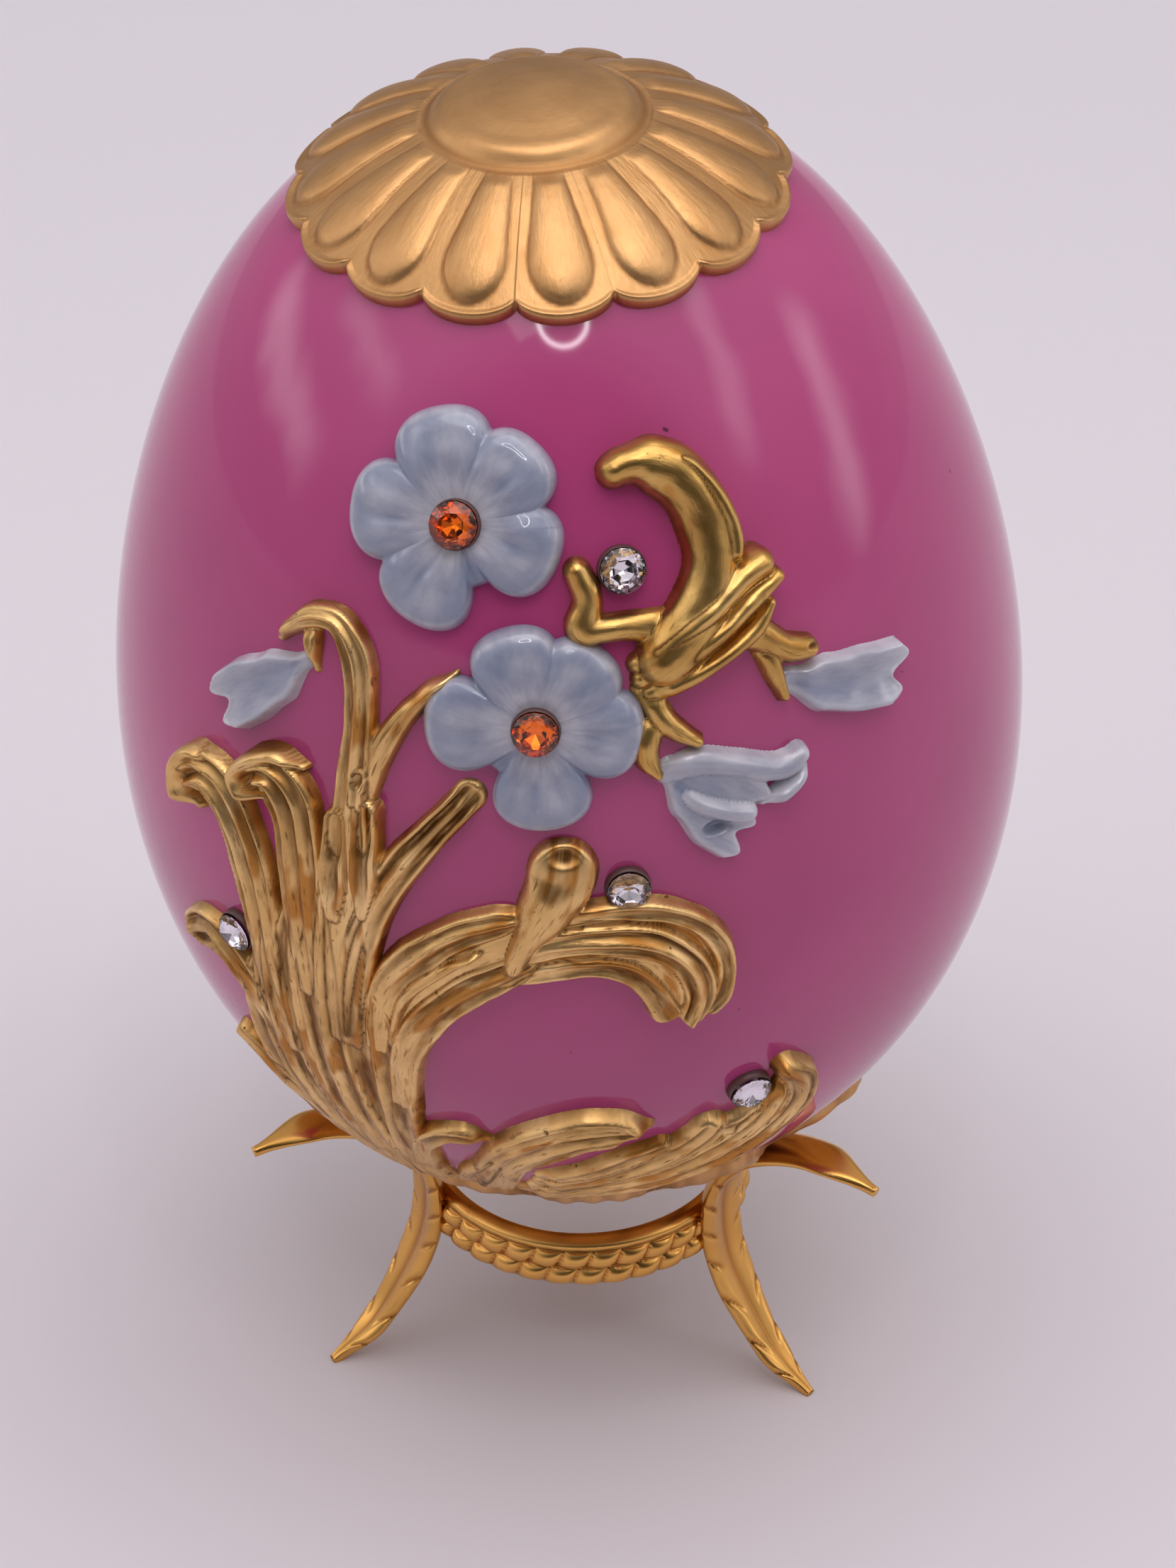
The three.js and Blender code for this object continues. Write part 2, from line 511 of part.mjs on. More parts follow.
// Two rows of beads run round the ring's outside, each set over the gap of the other.
function ringSolid() {
  const height = RING_TOP - RING_BAND - RING_BOTTOM;
  const loops = range(2 * BEADS).map((k) => {
    const azimuth = rad(STAND_TURN + (180 * k) / BEADS);
    const upper = k % 2 === 0 ? BEAD_RISE : 0;
    const lower = BEAD_RISE - upper;
    const section = [
      [RING_INNER, RING_BOTTOM + 0.3],
      [RING_INNER, RING_TOP - 0.15],
      [RING_INNER + 0.2, RING_TOP],
      [RING_SHOULDER, RING_TOP - RING_BAND],
      [RING_SHOULDER + upper, RING_TOP - RING_BAND - 0.25 * height],
      [RING_SHOULDER, RING_TOP - RING_BAND - 0.5 * height],
      [RING_SHOULDER + lower, RING_TOP - RING_BAND - 0.75 * height],
      [RING_SHOULDER - 0.2, RING_BOTTOM],
    ];
    return section.map(([out, up]) => new THREE.Vector3(out * Math.cos(azimuth), out * Math.sin(azimuth), up));
  });
  const notches = range(LEG_COUNT).map((i) => loft(legLoops(legAzimuth(i), JOINT_GAP)));
  return notches.reduce((ring, notch) => ring.subtract(notch), loft(loops, { ring: true }));
}

// ---------------------------------------------------------------- the object

const pinkGlaze = new THREE.MeshStandardMaterial({ color: 0xa8527c, roughness: 0.12, metalness: 0 });
const goldPlate = new THREE.MeshStandardMaterial({ color: 0xc9923c, roughness: 0.25, metalness: 1 });
const amberStone = new THREE.MeshStandardMaterial({ color: 0xc8560e, roughness: 0.05, metalness: 0 });
const clearStone = new THREE.MeshStandardMaterial({ color: 0xd9d2dc, roughness: 0.05, metalness: 0 });

function named(name, solid, material) {
  const mesh = new THREE.Mesh(geometryFrom(solid), material);
  mesh.name = name;
  return mesh;
}

function eggSolid() {
  const ornament = [
    capSolid(),
    calyxSolid(),
    ...GILT_STROKES.map(strokeSolid),
    ...BELL_STROKES.map(strokeSolid),
    ...FLOWERS.map(flowerSolid),
  ];
  const whole = ornament.reduce((egg, piece) => egg.add(piece), eggBody());
  return STONES.reduce((egg, stone) => egg.subtract(seatCutter(stone)), whole);
}

const seatedEgg = new THREE.Group();
seatedEgg.add(named('egg', eggSolid(), pinkGlaze));
for (const stone of STONES) {
  seatedEgg.add(named(stone.name, stoneSolid(stone), stone.amber ? amberStone : clearStone));
}
seatedEgg.rotation.set(rad(EGG_LEAN_FORWARD), rad(-EGG_LEAN_LEFT), 0);
seatedEgg.position.set(...EGG_OFF_AXIS, EGG_CENTRE_HEIGHT);

const group = new THREE.Group();
group.add(seatedEgg);
group.add(named('stand_ring', ringSolid(), goldPlate));
for (const [index, place] of ['front_left', 'front_right', 'back'].entries()) {
  group.add(named(`leg_${place}`, legSolid(index), goldPlate));
}

// The whole is centred over the origin, with the feet left on Z = 0.
const middle = new THREE.Box3().setFromObject(group, true).getCenter(new THREE.Vector3());
group.position.set(-middle.x, -middle.y, 0);

export default group;
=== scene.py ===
import math

import bmesh
import bpy
import numpy as np
from mathutils import Matrix, Vector


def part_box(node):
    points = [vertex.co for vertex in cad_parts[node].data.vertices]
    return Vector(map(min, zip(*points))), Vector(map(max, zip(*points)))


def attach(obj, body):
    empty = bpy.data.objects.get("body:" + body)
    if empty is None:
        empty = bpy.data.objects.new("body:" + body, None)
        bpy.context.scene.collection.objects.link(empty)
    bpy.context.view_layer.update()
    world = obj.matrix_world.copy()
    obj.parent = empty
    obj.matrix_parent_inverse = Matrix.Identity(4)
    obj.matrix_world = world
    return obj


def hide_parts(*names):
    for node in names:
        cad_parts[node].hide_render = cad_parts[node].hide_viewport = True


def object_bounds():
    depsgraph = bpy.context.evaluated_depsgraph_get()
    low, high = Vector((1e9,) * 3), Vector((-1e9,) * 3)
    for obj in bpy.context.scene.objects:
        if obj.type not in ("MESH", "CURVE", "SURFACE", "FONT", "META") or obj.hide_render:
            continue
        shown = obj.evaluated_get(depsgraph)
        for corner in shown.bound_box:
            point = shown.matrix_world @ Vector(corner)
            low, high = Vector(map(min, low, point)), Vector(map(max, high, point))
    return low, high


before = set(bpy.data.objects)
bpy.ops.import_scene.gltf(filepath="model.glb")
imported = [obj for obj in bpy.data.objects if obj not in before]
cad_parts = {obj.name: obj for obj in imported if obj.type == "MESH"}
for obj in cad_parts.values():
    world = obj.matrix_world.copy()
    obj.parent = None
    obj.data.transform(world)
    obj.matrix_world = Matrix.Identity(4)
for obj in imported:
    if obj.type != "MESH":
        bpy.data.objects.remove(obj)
CAD_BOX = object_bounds()

MM = 0.001

# ---- sizes, in millimetres and degrees

EGG_HALF_HEIGHT = 43.7
EGG_RADIUS = 32.4
EGG_TAPER = -0.094
EGG_FULLNESS = 0.013
EGG_SHOULDER = 0.068
EGG_CENTRE_HEIGHT = 62.68
EGG_OFF_AXIS = (-0.52, -1.76)
EGG_LEAN_FORWARD = 6.6
EGG_LEAN_LEFT = 2.0
ROOT_DEPTH = 0.6
# The cap and the calyx close inside the egg, at this depth and these latitudes.
HIDDEN_DEPTH = 2.0
CAP_HIDDEN_LAT = 72.0
CALYX_HIDDEN_LAT = -60.0

CAP_TONGUES = 16
CAP_TURN = -5.5
CAP_EDGE_LAT = 59.1
CAP_SCALLOP = 1.9
CAP_BOSS_LAT = 77.0
CAP_THICK = 0.55
CAP_TONGUE_RISE = 0.65
CAP_LIP = 0.3
CAP_LOBE = 0.95

CALYX_LEAVES = 14
CALYX_FRONT_LAT = -44
CALYX_BACK_LAT = -30
CALYX_NOTCH = 7
CALYX_THICK = 0.9

FLOWER_RISE = 1.75
FLOWER_HEART = 1.0
PETAL_HALF_ANGLE = 44

RING_INNER = 11.6
RING_TOP = 15.8
RING_SHOULDER = 13.0
RING_BAND = 0.8
RING_BOTTOM = 11.7
BEADS = 36
BEAD_RISE = 0.5
STAND_TURN = -7.0
LEG_THICK = 1.7
LEG_GROOVE = 0.5
# The leg's outer face from foot to horn, as distance out and height, and its half width there.
LEG_LINE = [
    (22.3, 0.2), (18.5, 3.6), (15.1, 9.5), (14.1, 14.2), (14.8, 18.6), (17.7, 22.2), (22.4, 24.0),
    (27.2, 23.2),
]
LEG_HALVES = [0.45, 1.6, 2.25, 2.4, 2.35, 2.2, 1.8, 0.4]


def ridge(path, halves, high, **carving):
    """One stroke of ornament.

    path is degrees round from the front and degrees up from the girth, and halves is half the
    width at each of its points. high is the rise above the glaze. flutes counts the channels
    across, depth is their share of the height, and a stroke with none is round. lines is how
    strong the fine lines are. lobe rounds the far end, and blunt the near one. curl lifts the far
    end, and dimple hollows it. wobble is how uneven the outline is.
    """
    return dict(path=path, halves=halves, high=high, **carving)


ACANTHUS = [
    ridge([(-33, -42), (-38.5, -32), (-41.3, -22), (-41.6, -13), (-39.5, -5)],
         [1.4, 1.8, 1.75, 1.5, 0.6], 0.95, flutes=1),
    ridge([(-31.5, -42), (-36, -31), (-38.2, -20), (-38.4, -9), (-37.6, 0)],
         [1.4, 1.8, 1.8, 1.6, 0.6], 1.15, flutes=2),
    ridge([(-30, -42), (-33, -30), (-34.6, -18), (-34.4, -6), (-33.2, 4)],
         [1.4, 1.8, 1.9, 1.8, 0.7], 1.0, flutes=2),
    ridge([(-28.5, -42), (-30, -30), (-31, -18), (-30.6, -6), (-28.8, 6)],
         [1.4, 1.7, 1.9, 1.9, 0.8], 1.25, flutes=2),
    ridge([(-27, -42), (-27, -30), (-27, -19), (-26.6, -8), (-24.6, 2)],
         [1.4, 1.6, 1.7, 1.6, 0.6], 0.9, flutes=1),
    ridge([(-25, -42), (-24.4, -30), (-23.2, -20), (-22.8, -11), (-23.6, -4.5)],
         [1.4, 1.5, 1.55, 1.4, 0.5], 1.15, flutes=1),
    ridge([(-36.5, -19), (-38, -8), (-38.7, 0), (-40.5, 5.6), (-43.7, 9.4), (-47.5, 10.6),
               (-50.4, 9.2)],
         [0.8, 1.4, 1.7, 1.9, 1.95, 1.8, 1.4], 1.35, flutes=3, curl=0.35, lobe=True),
    ridge([(-45.6, 12.2), (-49.4, 11.9), (-51.2, 9.8), (-50.9, 7.4), (-48.8, 6.5)],
         [0.3, 0.65, 0.8, 0.75, 0.4], 2.1),
    ridge([(-31.4, -9), (-32.0, 1), (-32.3, 8), (-33.6, 12.0), (-36.6, 13.9), (-40.0, 12.8)],
         [1.3, 1.7, 1.85, 2.1, 1.7, 1.0], 1.5, flutes=3, curl=0.3),
    ridge([(-32.0, 15.6), (-35.6, 16.0), (-38.8, 14.9), (-41.0, 12.9), (-39.8, 11.4), (-37.6, 11.3)],
         [0.25, 0.6, 0.7, 0.7, 0.55, 0.3], 2.15),
    ridge([(-28.8, -14), (-27.2, -2), (-26.0, 7), (-25.3, 15), (-24.9, 21.5), (-25.7, 26.4),
               (-28.6, 29.4), (-32.4, 29.6), (-35.4, 28.2), (-37.6, 26.4)],
         [1.6, 2.0, 2.0, 1.3, 1.15, 1.1, 1.0, 0.85, 0.7, 0.3], 1.4, flutes=2, curl=0.2),
    ridge([(-33.4, 29.0), (-32.8, 27), (-31.8, 24.7)], [0.7, 0.65, 0.3], 1.0, flutes=1),
    ridge([(-27.6, 1), (-27.2, 7), (-26.9, 13.2)],
         [0.7, 1.15, 1.0], 2.0, flutes=1, lobe=True, dimple=0.5),
    ridge([(-23.9, 2), (-23.5, 8), (-23.4, 14.6)],
         [0.6, 1.1, 0.9], 1.9, flutes=1, lobe=True, dimple=0.5),
    ridge([(-24.8, 12.6), (-24.0, 17.6)],
         [0.7, 0.75], 1.8, flutes=1, lobe=True, dimple=0.4),
    ridge([(-24.3, 13.5), (-22.3, 18.5), (-19.6, 22.2), (-16.2, 25), (-12.7, 27)],
         [0.85, 0.9, 0.8, 0.65, 0.2], 1.15, flutes=2),
    ridge([(-28, -13), (-26, -4), (-23, 3.4), (-19.4, 8.6), (-15.4, 12.5), (-11.0, 16.2)],
         [1.1, 1.4, 1.4, 1.3, 1.2, 1.05], 1.3, flutes=2, dimple=0.35),
    ridge([(-38, -19), (-41, -12.5), (-44.8, -8.6), (-49, -7.8), (-53.6, -10.0)],
         [1.0, 1.5, 1.75, 1.75, 1.5], 1.2, flutes=2, lobe=True, dimple=0.3),
    ridge([(-38, -33), (-43, -27), (-46, -23.6), (-49.5, -21.8)],
         [1.2, 1.7, 1.6, 1.0], 1.1, flutes=2, lobe=True),
]
SCROLL = [
    ridge([(-23, -16), (-20, -8), (-15, -2.8), (-9, 1), (-2, 2.6), (5, 2.2), (10, 0.5), (12.6, -3.2),
               (12.2, -6.6)],
         [1.6, 2.0, 2.5, 2.8, 2.4, 2.4, 2.3, 2.2, 2.1], 0.85, curl=0.4, lines=0.6, lobe=True),
    ridge([(-24.6, -14), (-22.4, -5.6), (-18.6, -1), (-13.6, 2.4), (-8.6, 4.2), (-4.6, 5)],
         [1.0, 1.35, 1.5, 1.35, 1.1, 0.6], 1.2, flutes=2),
    ridge([(-22.6, -22), (-20.6, -13), (-17, -7.2), (-12.2, -3.2), (-7, -0.5), (-3, 1.2)],
         [1.2, 1.3, 1.45, 1.5, 1.3, 0.7], 1.35, flutes=2),
    ridge([(-22.4, -12), (-19.6, -5), (-14.6, -0.8), (-9.4, 1.8)],
         [0.3, 0.55, 0.6, 0.3], 1.65, flutes=1),
    ridge([(-10.4, -2.2), (-2.6, -0.5), (2.5, -0.1), (6.4, -1.2), (8.9, -3.8), (10.6, -7.2)],
         [0.6, 0.9, 0.95, 1.0, 1.15, 1.2], 1.4, flutes=1, lobe=True),
    ridge([(-8, 0.4), (-2.4, 2.4), (3.5, 2.8), (9, 1.9), (12.7, -0.8), (13.9, -4.2), (12.2, -7.4)],
         [0.7, 1.2, 1.3, 1.35, 1.3, 1.2, 1.0], 1.7, flutes=2, lobe=True, curl=0.2),
    ridge([(-5, 4.2), (1, 5.2), (6, 5.3), (11, 4.5), (15, 2.3), (17, -1), (16.4, -4.8), (13.6, -7.4)],
         [0.5, 0.75, 0.8, 0.85, 0.85, 0.9, 0.9, 0.6], 1.45, flutes=1, curl=0.2),
    ridge([(-7.4, -1.4), (-5.4, 2.4), (-2.6, 6), (-0.7, 8.9), (-0.3, 11.9)],
         [0.6, 1.0, 1.8, 2.35, 2.1], 2.0, lobe=True, dimple=0.25),
]
BOTTOM_LEAVES = [
    ridge([(-15, -41), (-12, -32), (-7.5, -26.9), (-2.5, -24.2), (2.4, -23.4), (5.6, -23.1),
               (8.6, -23.0)],
         [1.4, 2.0, 2.3, 2.3, 1.9, 1.1, 0.15], 1.1, flutes=3),
    ridge([(-15.4, -32), (-11.4, -26.2), (-6.4, -22.9), (-1, -20.9), (4, -21), (8.2, -22.9)],
         [0.4, 0.6, 0.75, 0.8, 0.65, 0.2], 1.6, flutes=1),
    ridge([(-24, -37), (-22.4, -29.5), (-19.5, -25.9), (-16, -24.7), (-12.6, -25.6)],
         [1.2, 1.0, 1.0, 0.95, 0.4], 1.25, flutes=1),
    ridge([(-19, -41), (-16.5, -36), (-13.5, -32), (-11.5, -28.6)],
         [1.4, 1.3, 1.0, 0.5], 1.0, flutes=1),
    ridge([(-10, -41.5), (2, -39.8), (13, -36.8), (22, -32.2), (27.6, -26.8), (27.8, -21.4),
               (24.4, -17.4)],
         [1.1, 1.3, 1.4, 1.6, 1.6, 1.3, 0.9], 1.15, flutes=2, lobe=True, curl=0.5),
    ridge([(-8, -39.6), (2, -36.4), (11, -33.2), (18.5, -29.2), (23.6, -24.8), (25.6, -20)],
         [1.0, 1.2, 1.35, 1.4, 1.25, 0.6], 1.35, flutes=2),
    ridge([(-7, -37.4), (1, -34.2), (8, -30.9), (14.2, -27.2), (16.8, -23.8)],
         [0.9, 1.15, 1.3, 1.5, 1.3], 1.25, flutes=2, lobe=True),
    ridge([(-6.5, -35), (0, -32.2), (5.5, -29.2), (10.8, -26.8)],
         [0.8, 0.95, 1.0, 0.8], 1.05, flutes=1, lobe=True),
    ridge([(14.6, -26), (17.6, -26), (20.6, -25.4), (23.2, -22.4)],
         [0.5, 1.0, 1.0, 0.5], 1.1, flutes=1),
]
BRANCH = [
    ridge([(8.4, 44.1), (12, 44.9), (16.3, 44.6), (20.2, 42.7), (22.3, 39.2), (22.0, 35.2),
               (19.4, 31.4), (15.2, 28.4), (11.2, 26.5)],
         [0.9, 1.25, 1.75, 1.95, 1.85, 1.75, 1.9, 2.1, 1.5], 2.3, blunt=True, lobe=True),
    ridge([(17.6, 45.6), (21.6, 43.6), (24.2, 40), (24.8, 36.6), (23.6, 33.6)],
         [0.2, 0.65, 0.8, 0.85, 0.4], 2.5),
    ridge([(10.2, 27.4), (15, 29.4), (20, 31.2), (25, 33.2), (29.8, 34.0)],
         [0.7, 0.9, 1.0, 1.15, 1.1], 2.6, lobe=True),
    ridge([(10.4, 26), (15.5, 27.4), (20.5, 29), (25.6, 31), (30.6, 32.6)],
         [0.7, 0.85, 0.9, 0.95, 0.7], 2.3, lobe=True),
    ridge([(11.4, 24.6), (16, 25.6), (20.6, 26.8), (25.4, 28.4), (28.6, 30.6)],
         [0.7, 0.8, 0.8, 0.8, 0.5], 1.9, lobe=True),
    ridge([(15, 29.9), (9.8, 30.7), (6, 30.8), (3.9, 31.2), (4.5, 33.8), (2.8, 37)],
         [1.3, 0.95, 0.95, 1.25, 0.95, 0.8], 1.3, lobe=True),
    ridge([(22.5, 28.6), (26.4, 27.3), (29.8, 25.3), (33.8, 24.4)],
         [1.4, 1.15, 0.95, 0.8], 1.3, lobe=True),
    ridge([(26.6, 27.0), (27.3, 24.2), (28.2, 20.9)], [0.9, 0.75, 0.35], 1.0, lobe=True),
    ridge([(11, 25.2), (12.2, 22.6), (14, 21), (16.9, 19.4)],
         [1.0, 0.85, 0.75, 0.5], 1.1, lobe=True),
    ridge([(12.4, 22.8), (10.5, 21), (10.1, 19), (11.4, 17.1)],
         [0.8, 0.95, 0.85, 0.35], 1.1, lobe=True),
]
# Bell flowers are hollowed like spoons and flare to a mouth of petals. notch is how far it is cut
# back between them, as a share of the path, and skew makes one side of the mouth longer.
BELLS = [
    [ridge([(-33.4, 25.2), (-37.6, 22.6), (-41.8, 20.2), (-46.4, 17.2)], [0.6, 1.8, 2.2, 2.1],
          1.1, notch=0.14, petals=2, flutes=1, depth=0.5, lines=0.1, wobble=0)],
    [ridge([(29.6, 22.3), (34.4, 20.7), (40, 19.3), (46.4, 17.9)], [0.9, 1.9, 2.2, 2.25],
          1.1, notch=0.12, petals=2, skew=0.55, flutes=1, depth=0.5, lines=0.1, wobble=0)],
    [ridge([(12.9, 17.4), (15.8, 15.2), (19.0, 12.8), (22.4, 10.6)], [1.0, 2.3, 3.0, 3.1],
          0.8, notch=0.14, petals=3, skew=-0.3, flutes=1, depth=0.3, lines=0.2, wobble=0),
     ridge([(12.4, 17.3), (16.0, 17.8), (20.6, 16.8), (24.6, 15.5), (27.2, 15.3), (29.6, 16.2)],
          [0.8, 0.95, 0.9, 0.95, 0.95, 0.6], 1.25, lobe=True, wobble=0),
     ridge([(29.6, 15.4), (28.2, 13.9), (25.6, 12.9), (23.4, 12.6)], [0.25, 0.5, 0.6, 0.3],
          1.35, wobble=0),
     ridge([(13.4, 15.9), (15.6, 14.2), (18.8, 12.9), (22.4, 12.0)], [0.5, 0.7, 0.8, 0.8],
          1.3, lobe=True, wobble=0)],
]
# Small hollows: degrees round, degrees up, then half length, half height and depth.
BELL_PITS = [(17.3, 11.6, 0.85, 0.42, 0.55)]
SCROLL_PITS = [(-0.2, 11.2, 0.9, 0.55, 0.35)]
BRANCH_PITS = [(32.8, 24.9, 0.45, 0.22, 0.3)]
# Each flower: where its heart is, and the direction and length of each petal.
FLOWERS = {
    "flower_upper": dict(
        at=(-13.3, 40.2), petals=[(107, 7.6), (47, 7.0), (-20, 6.6), (-114, 6.9), (178, 7.3)]),
    "flower_lower": dict(
        at=(-2.8, 22.6), petals=[(106, 6.7), (48, 6.5), (-10, 6.8), (-88, 7.1), (180, 7.2)]),
}
# Each stone: where it is, and how wide its girdle is.
STONES = {
    "amber_stone_upper": dict(at=(-13.3, 40.2), across=3.0, amber=True),
    "amber_stone_lower": dict(at=(-2.8, 22.6), across=2.9, amber=True),
    "clear_stone_top": dict(at=(9.6, 35.7), across=2.85, amber=False),
    "clear_stone_middle": dict(at=(6.7, 7.2), across=2.75, amber=False),
    "clear_stone_left": dict(at=(-43.4, -5.3), across=2.8, amber=False),
    "clear_stone_right": dict(at=(20.8, -20.4), across=2.9, amber=False),
}

# ---- places, from the frame

ring_low, ring_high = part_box("stand_ring")
STAND_AXIS = ((ring_low[0] + ring_high[0]) / 2, (ring_low[1] + ring_high[1]) / 2)
FLOOR = CAD_BOX[0][2]
EGG_CENTRE = Vector((
    STAND_AXIS[0] + EGG_OFF_AXIS[0] * MM,
    STAND_AXIS[1] + EGG_OFF_AXIS[1] * MM,
    FLOOR + EGG_CENTRE_HEIGHT * MM,
))
EGG_TURN = np.array(
    Matrix.Rotation(math.radians(EGG_LEAN_FORWARD), 3, "X")
    @ Matrix.Rotation(math.radians(-EGG_LEAN_LEFT), 3, "Y")
)


def mix(a, b, t):
    return a + (b - a) * t


def smooth(x):
    x = np.clip(x, 0.0, 1.0)
    return x * x * (3 - 2 * x)


def to_world(points):
    """From the egg's own frame in millimetres to the row's frame in metres."""
    return (points * MM) @ EGG_TURN.T + np.array(EGG_CENTRE)


# ---- the egg's surface


def radius_at(lat):
    s = np.sin(np.radians(lat))
    profile = 1 + EGG_TAPER * s + EGG_FULLNESS * s**2 + EGG_SHOULDER * s**3
    return EGG_RADIUS * np.cos(np.radians(lat)) * profile


def meridian(lat):
    """Millimetres outward, upward and along the glaze for each degree of latitude."""
    out = radius_at(lat + 0.5) - radius_at(lat - 0.5)
    up = EGG_HALF_HEIGHT * (np.sin(np.radians(lat + 0.5)) - np.sin(np.radians(lat - 0.5)))
    return out, up, np.hypot(out, up)


def on_egg(az, lat, lift=0.0):
    out_step, up_step, length = meridian(lat)
    out = radius_at(lat) + lift * up_step / length
    up = EGG_HALF_HEIGHT * np.sin(np.radians(lat)) - lift * out_step / length
    az = np.radians(az)
    return np.stack(np.broadcast_arrays(out * np.sin(az), -out * np.cos(az), up), -1)


def step_on_egg(az, lat, east, north):
    new_lat = lat + north / meridian(lat)[2]
    return az + np.degrees(east / radius_at((lat + new_lat) / 2)), new_lat


# ---- meshes


def add_object(name, data):
    added = bpy.data.objects.new(name, data)
    bpy.context.scene.collection.objects.link(added)
    return added


def mesh_object(name, points, faces, material, smooth_shading=True, **attributes):
    """A mesh object in the row's frame. Each attribute is one number for each point."""
    mesh = bpy.data.meshes.new(name)
    mesh.from_pydata([tuple(p) for p in points], [], faces)
    for key, values in attributes.items():
        layer = mesh.attributes.new(key, "FLOAT", "POINT")
        layer.data.foreach_set("value", np.asarray(values, dtype=np.float32).ravel())
    mesh.polygons.foreach_set("use_smooth", [smooth_shading] * len(mesh.polygons))
    mesh.materials.append(material)
    mesh.update()
    return add_object(name, mesh)


def loft_faces(rows, columns, ring=False):
    """Faces that join rows of points, each row a loop. Ends are closed unless the rows form a ring."""
    faces = []
    for row in range(rows if ring else rows - 1):
        near, far = row * columns, (row + 1) % rows * columns
        for i in range(columns):
            j = (i + 1) % columns
            faces.append((near + i, near + j, far + j, far + i))
    if not ring:
        faces.append(tuple(reversed(range(columns))))
        faces.append(tuple(range((rows - 1) * columns, rows * columns)))
    return faces


def finish_piece(piece, slot, *nodes):
    fix_normals(piece)
    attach(piece, "root")
    if nodes:
        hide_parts(*nodes)


def fix_normals(piece):
    work = bmesh.new()
    work.from_mesh(piece.data)
    bmesh.ops.recalc_face_normals(work, faces=work.faces)
    work.to_mesh(piece.data)
    work.free()


# ---- materials


def set_inputs(node, inputs):
    for key, value in inputs.items():
        node.inputs[key.replace("_", " ")].default_value = value


def new_material(name, **inputs):
    material = bpy.data.materials.new(name)
    material.use_nodes = True
    tree = material.node_tree
    shader = tree.nodes["Principled BSDF"]
    set_inputs(shader, inputs)
    return material, tree, shader


def plain_material(name, colour, **inputs):
    return new_material(name, Base_Color=(*colour, 1.0), **inputs)[0]


def add(tree, kind, **inputs):
    node = tree.nodes.new(kind)
    set_inputs(node, inputs)
    return node


def noise(tree, scale, detail, roughness=0.5):
    coords = tree.nodes.new("ShaderNodeTexCoord")
    node = add(tree, "ShaderNodeTexNoise", Scale=scale, Detail=detail, Roughness=roughness)
    tree.links.new(coords.outputs["Object"], node.inputs["Vector"])
    return node.outputs["Fac"]


def ramp(tree, source, stops):
    node = tree.nodes.new("ShaderNodeValToRGB")
    elements = node.color_ramp.elements
    while len(elements) < len(stops):
        elements.new(0.5)
    for element, (place, colour) in zip(elements, stops):
        element.position = place
        element.color = (*colour, 1.0)
    tree.links.new(source, node.inputs["Fac"])
    return node.outputs["Color"]


def greys(tree, source, low, high, bottom=0.0, top=1.0):
    """Greys that go from bottom to top while source goes from low to high."""
    return ramp(tree, source, [(low, (bottom,) * 3), (high, (top,) * 3)])


def attribute(tree, name):
    node = tree.nodes.new("ShaderNodeAttribute")
    node.attribute_name = name
    return node.outputs["Fac"]


def blend(tree, fac, a, b, kind="MIX"):
    node = tree.nodes.new("ShaderNodeMix")
    node.data_type = "RGBA"
    node.blend_type = kind
    for socket, value in ((node.inputs[0], fac), (node.inputs[6], a), (node.inputs[7], b)):
        if isinstance(value, (int, float)):
            socket.default_value = value
        elif isinstance(value, tuple):
            socket.default_value = (*value, 1.0)
        else:
            tree.links.new(value, socket)
    return node.outputs[2]


def bump(tree, shader, height, distance, strength):
    node = add(tree, "ShaderNodeBump", Strength=strength, Distance=distance)
    tree.links.new(height, node.inputs["Height"])
    tree.links.new(node.outputs["Normal"], shader.inputs["Normal"])


def carving_noise(tree, scale, detail, along_share):
    """Noise drawn out along the carving by its own two coordinates."""
    place = tree.nodes.new("ShaderNodeCombineXYZ")
    stretched = tree.nodes.new("ShaderNodeMath")
    stretched.operation = "MULTIPLY"
    stretched.inputs[1].default_value = along_share
    tree.links.new(attribute(tree, "along"), stretched.inputs[0])
    tree.links.new(stretched.outputs[0], place.inputs["X"])
    tree.links.new(attribute(tree, "over"), place.inputs["Y"])
    node = add(tree, "ShaderNodeTexNoise", Scale=scale, Detail=detail, Roughness=0.6)
    tree.links.new(place.outputs[0], node.inputs["Vector"])
    return node.outputs["Fac"]


def pink_glaze():
    material, tree, shader = new_material("pink_glaze", Roughness=0.07, IOR=1.5)
    colour = ramp(tree, noise(tree, 60, 2.0), [(0.3, (0.40, 0.050, 0.174)), (0.7, (0.46, 0.060, 0.200))])
    specks = greys(tree, noise(tree, 900, 1.0), 0.80, 0.84)
    tree.links.new(blend(tree, specks, colour, (0.10, 0.012, 0.04)), shader.inputs["Base Color"])
    bump(tree, shader, noise(tree, 90, 2.0), 0.00006, 0.35)
    return material


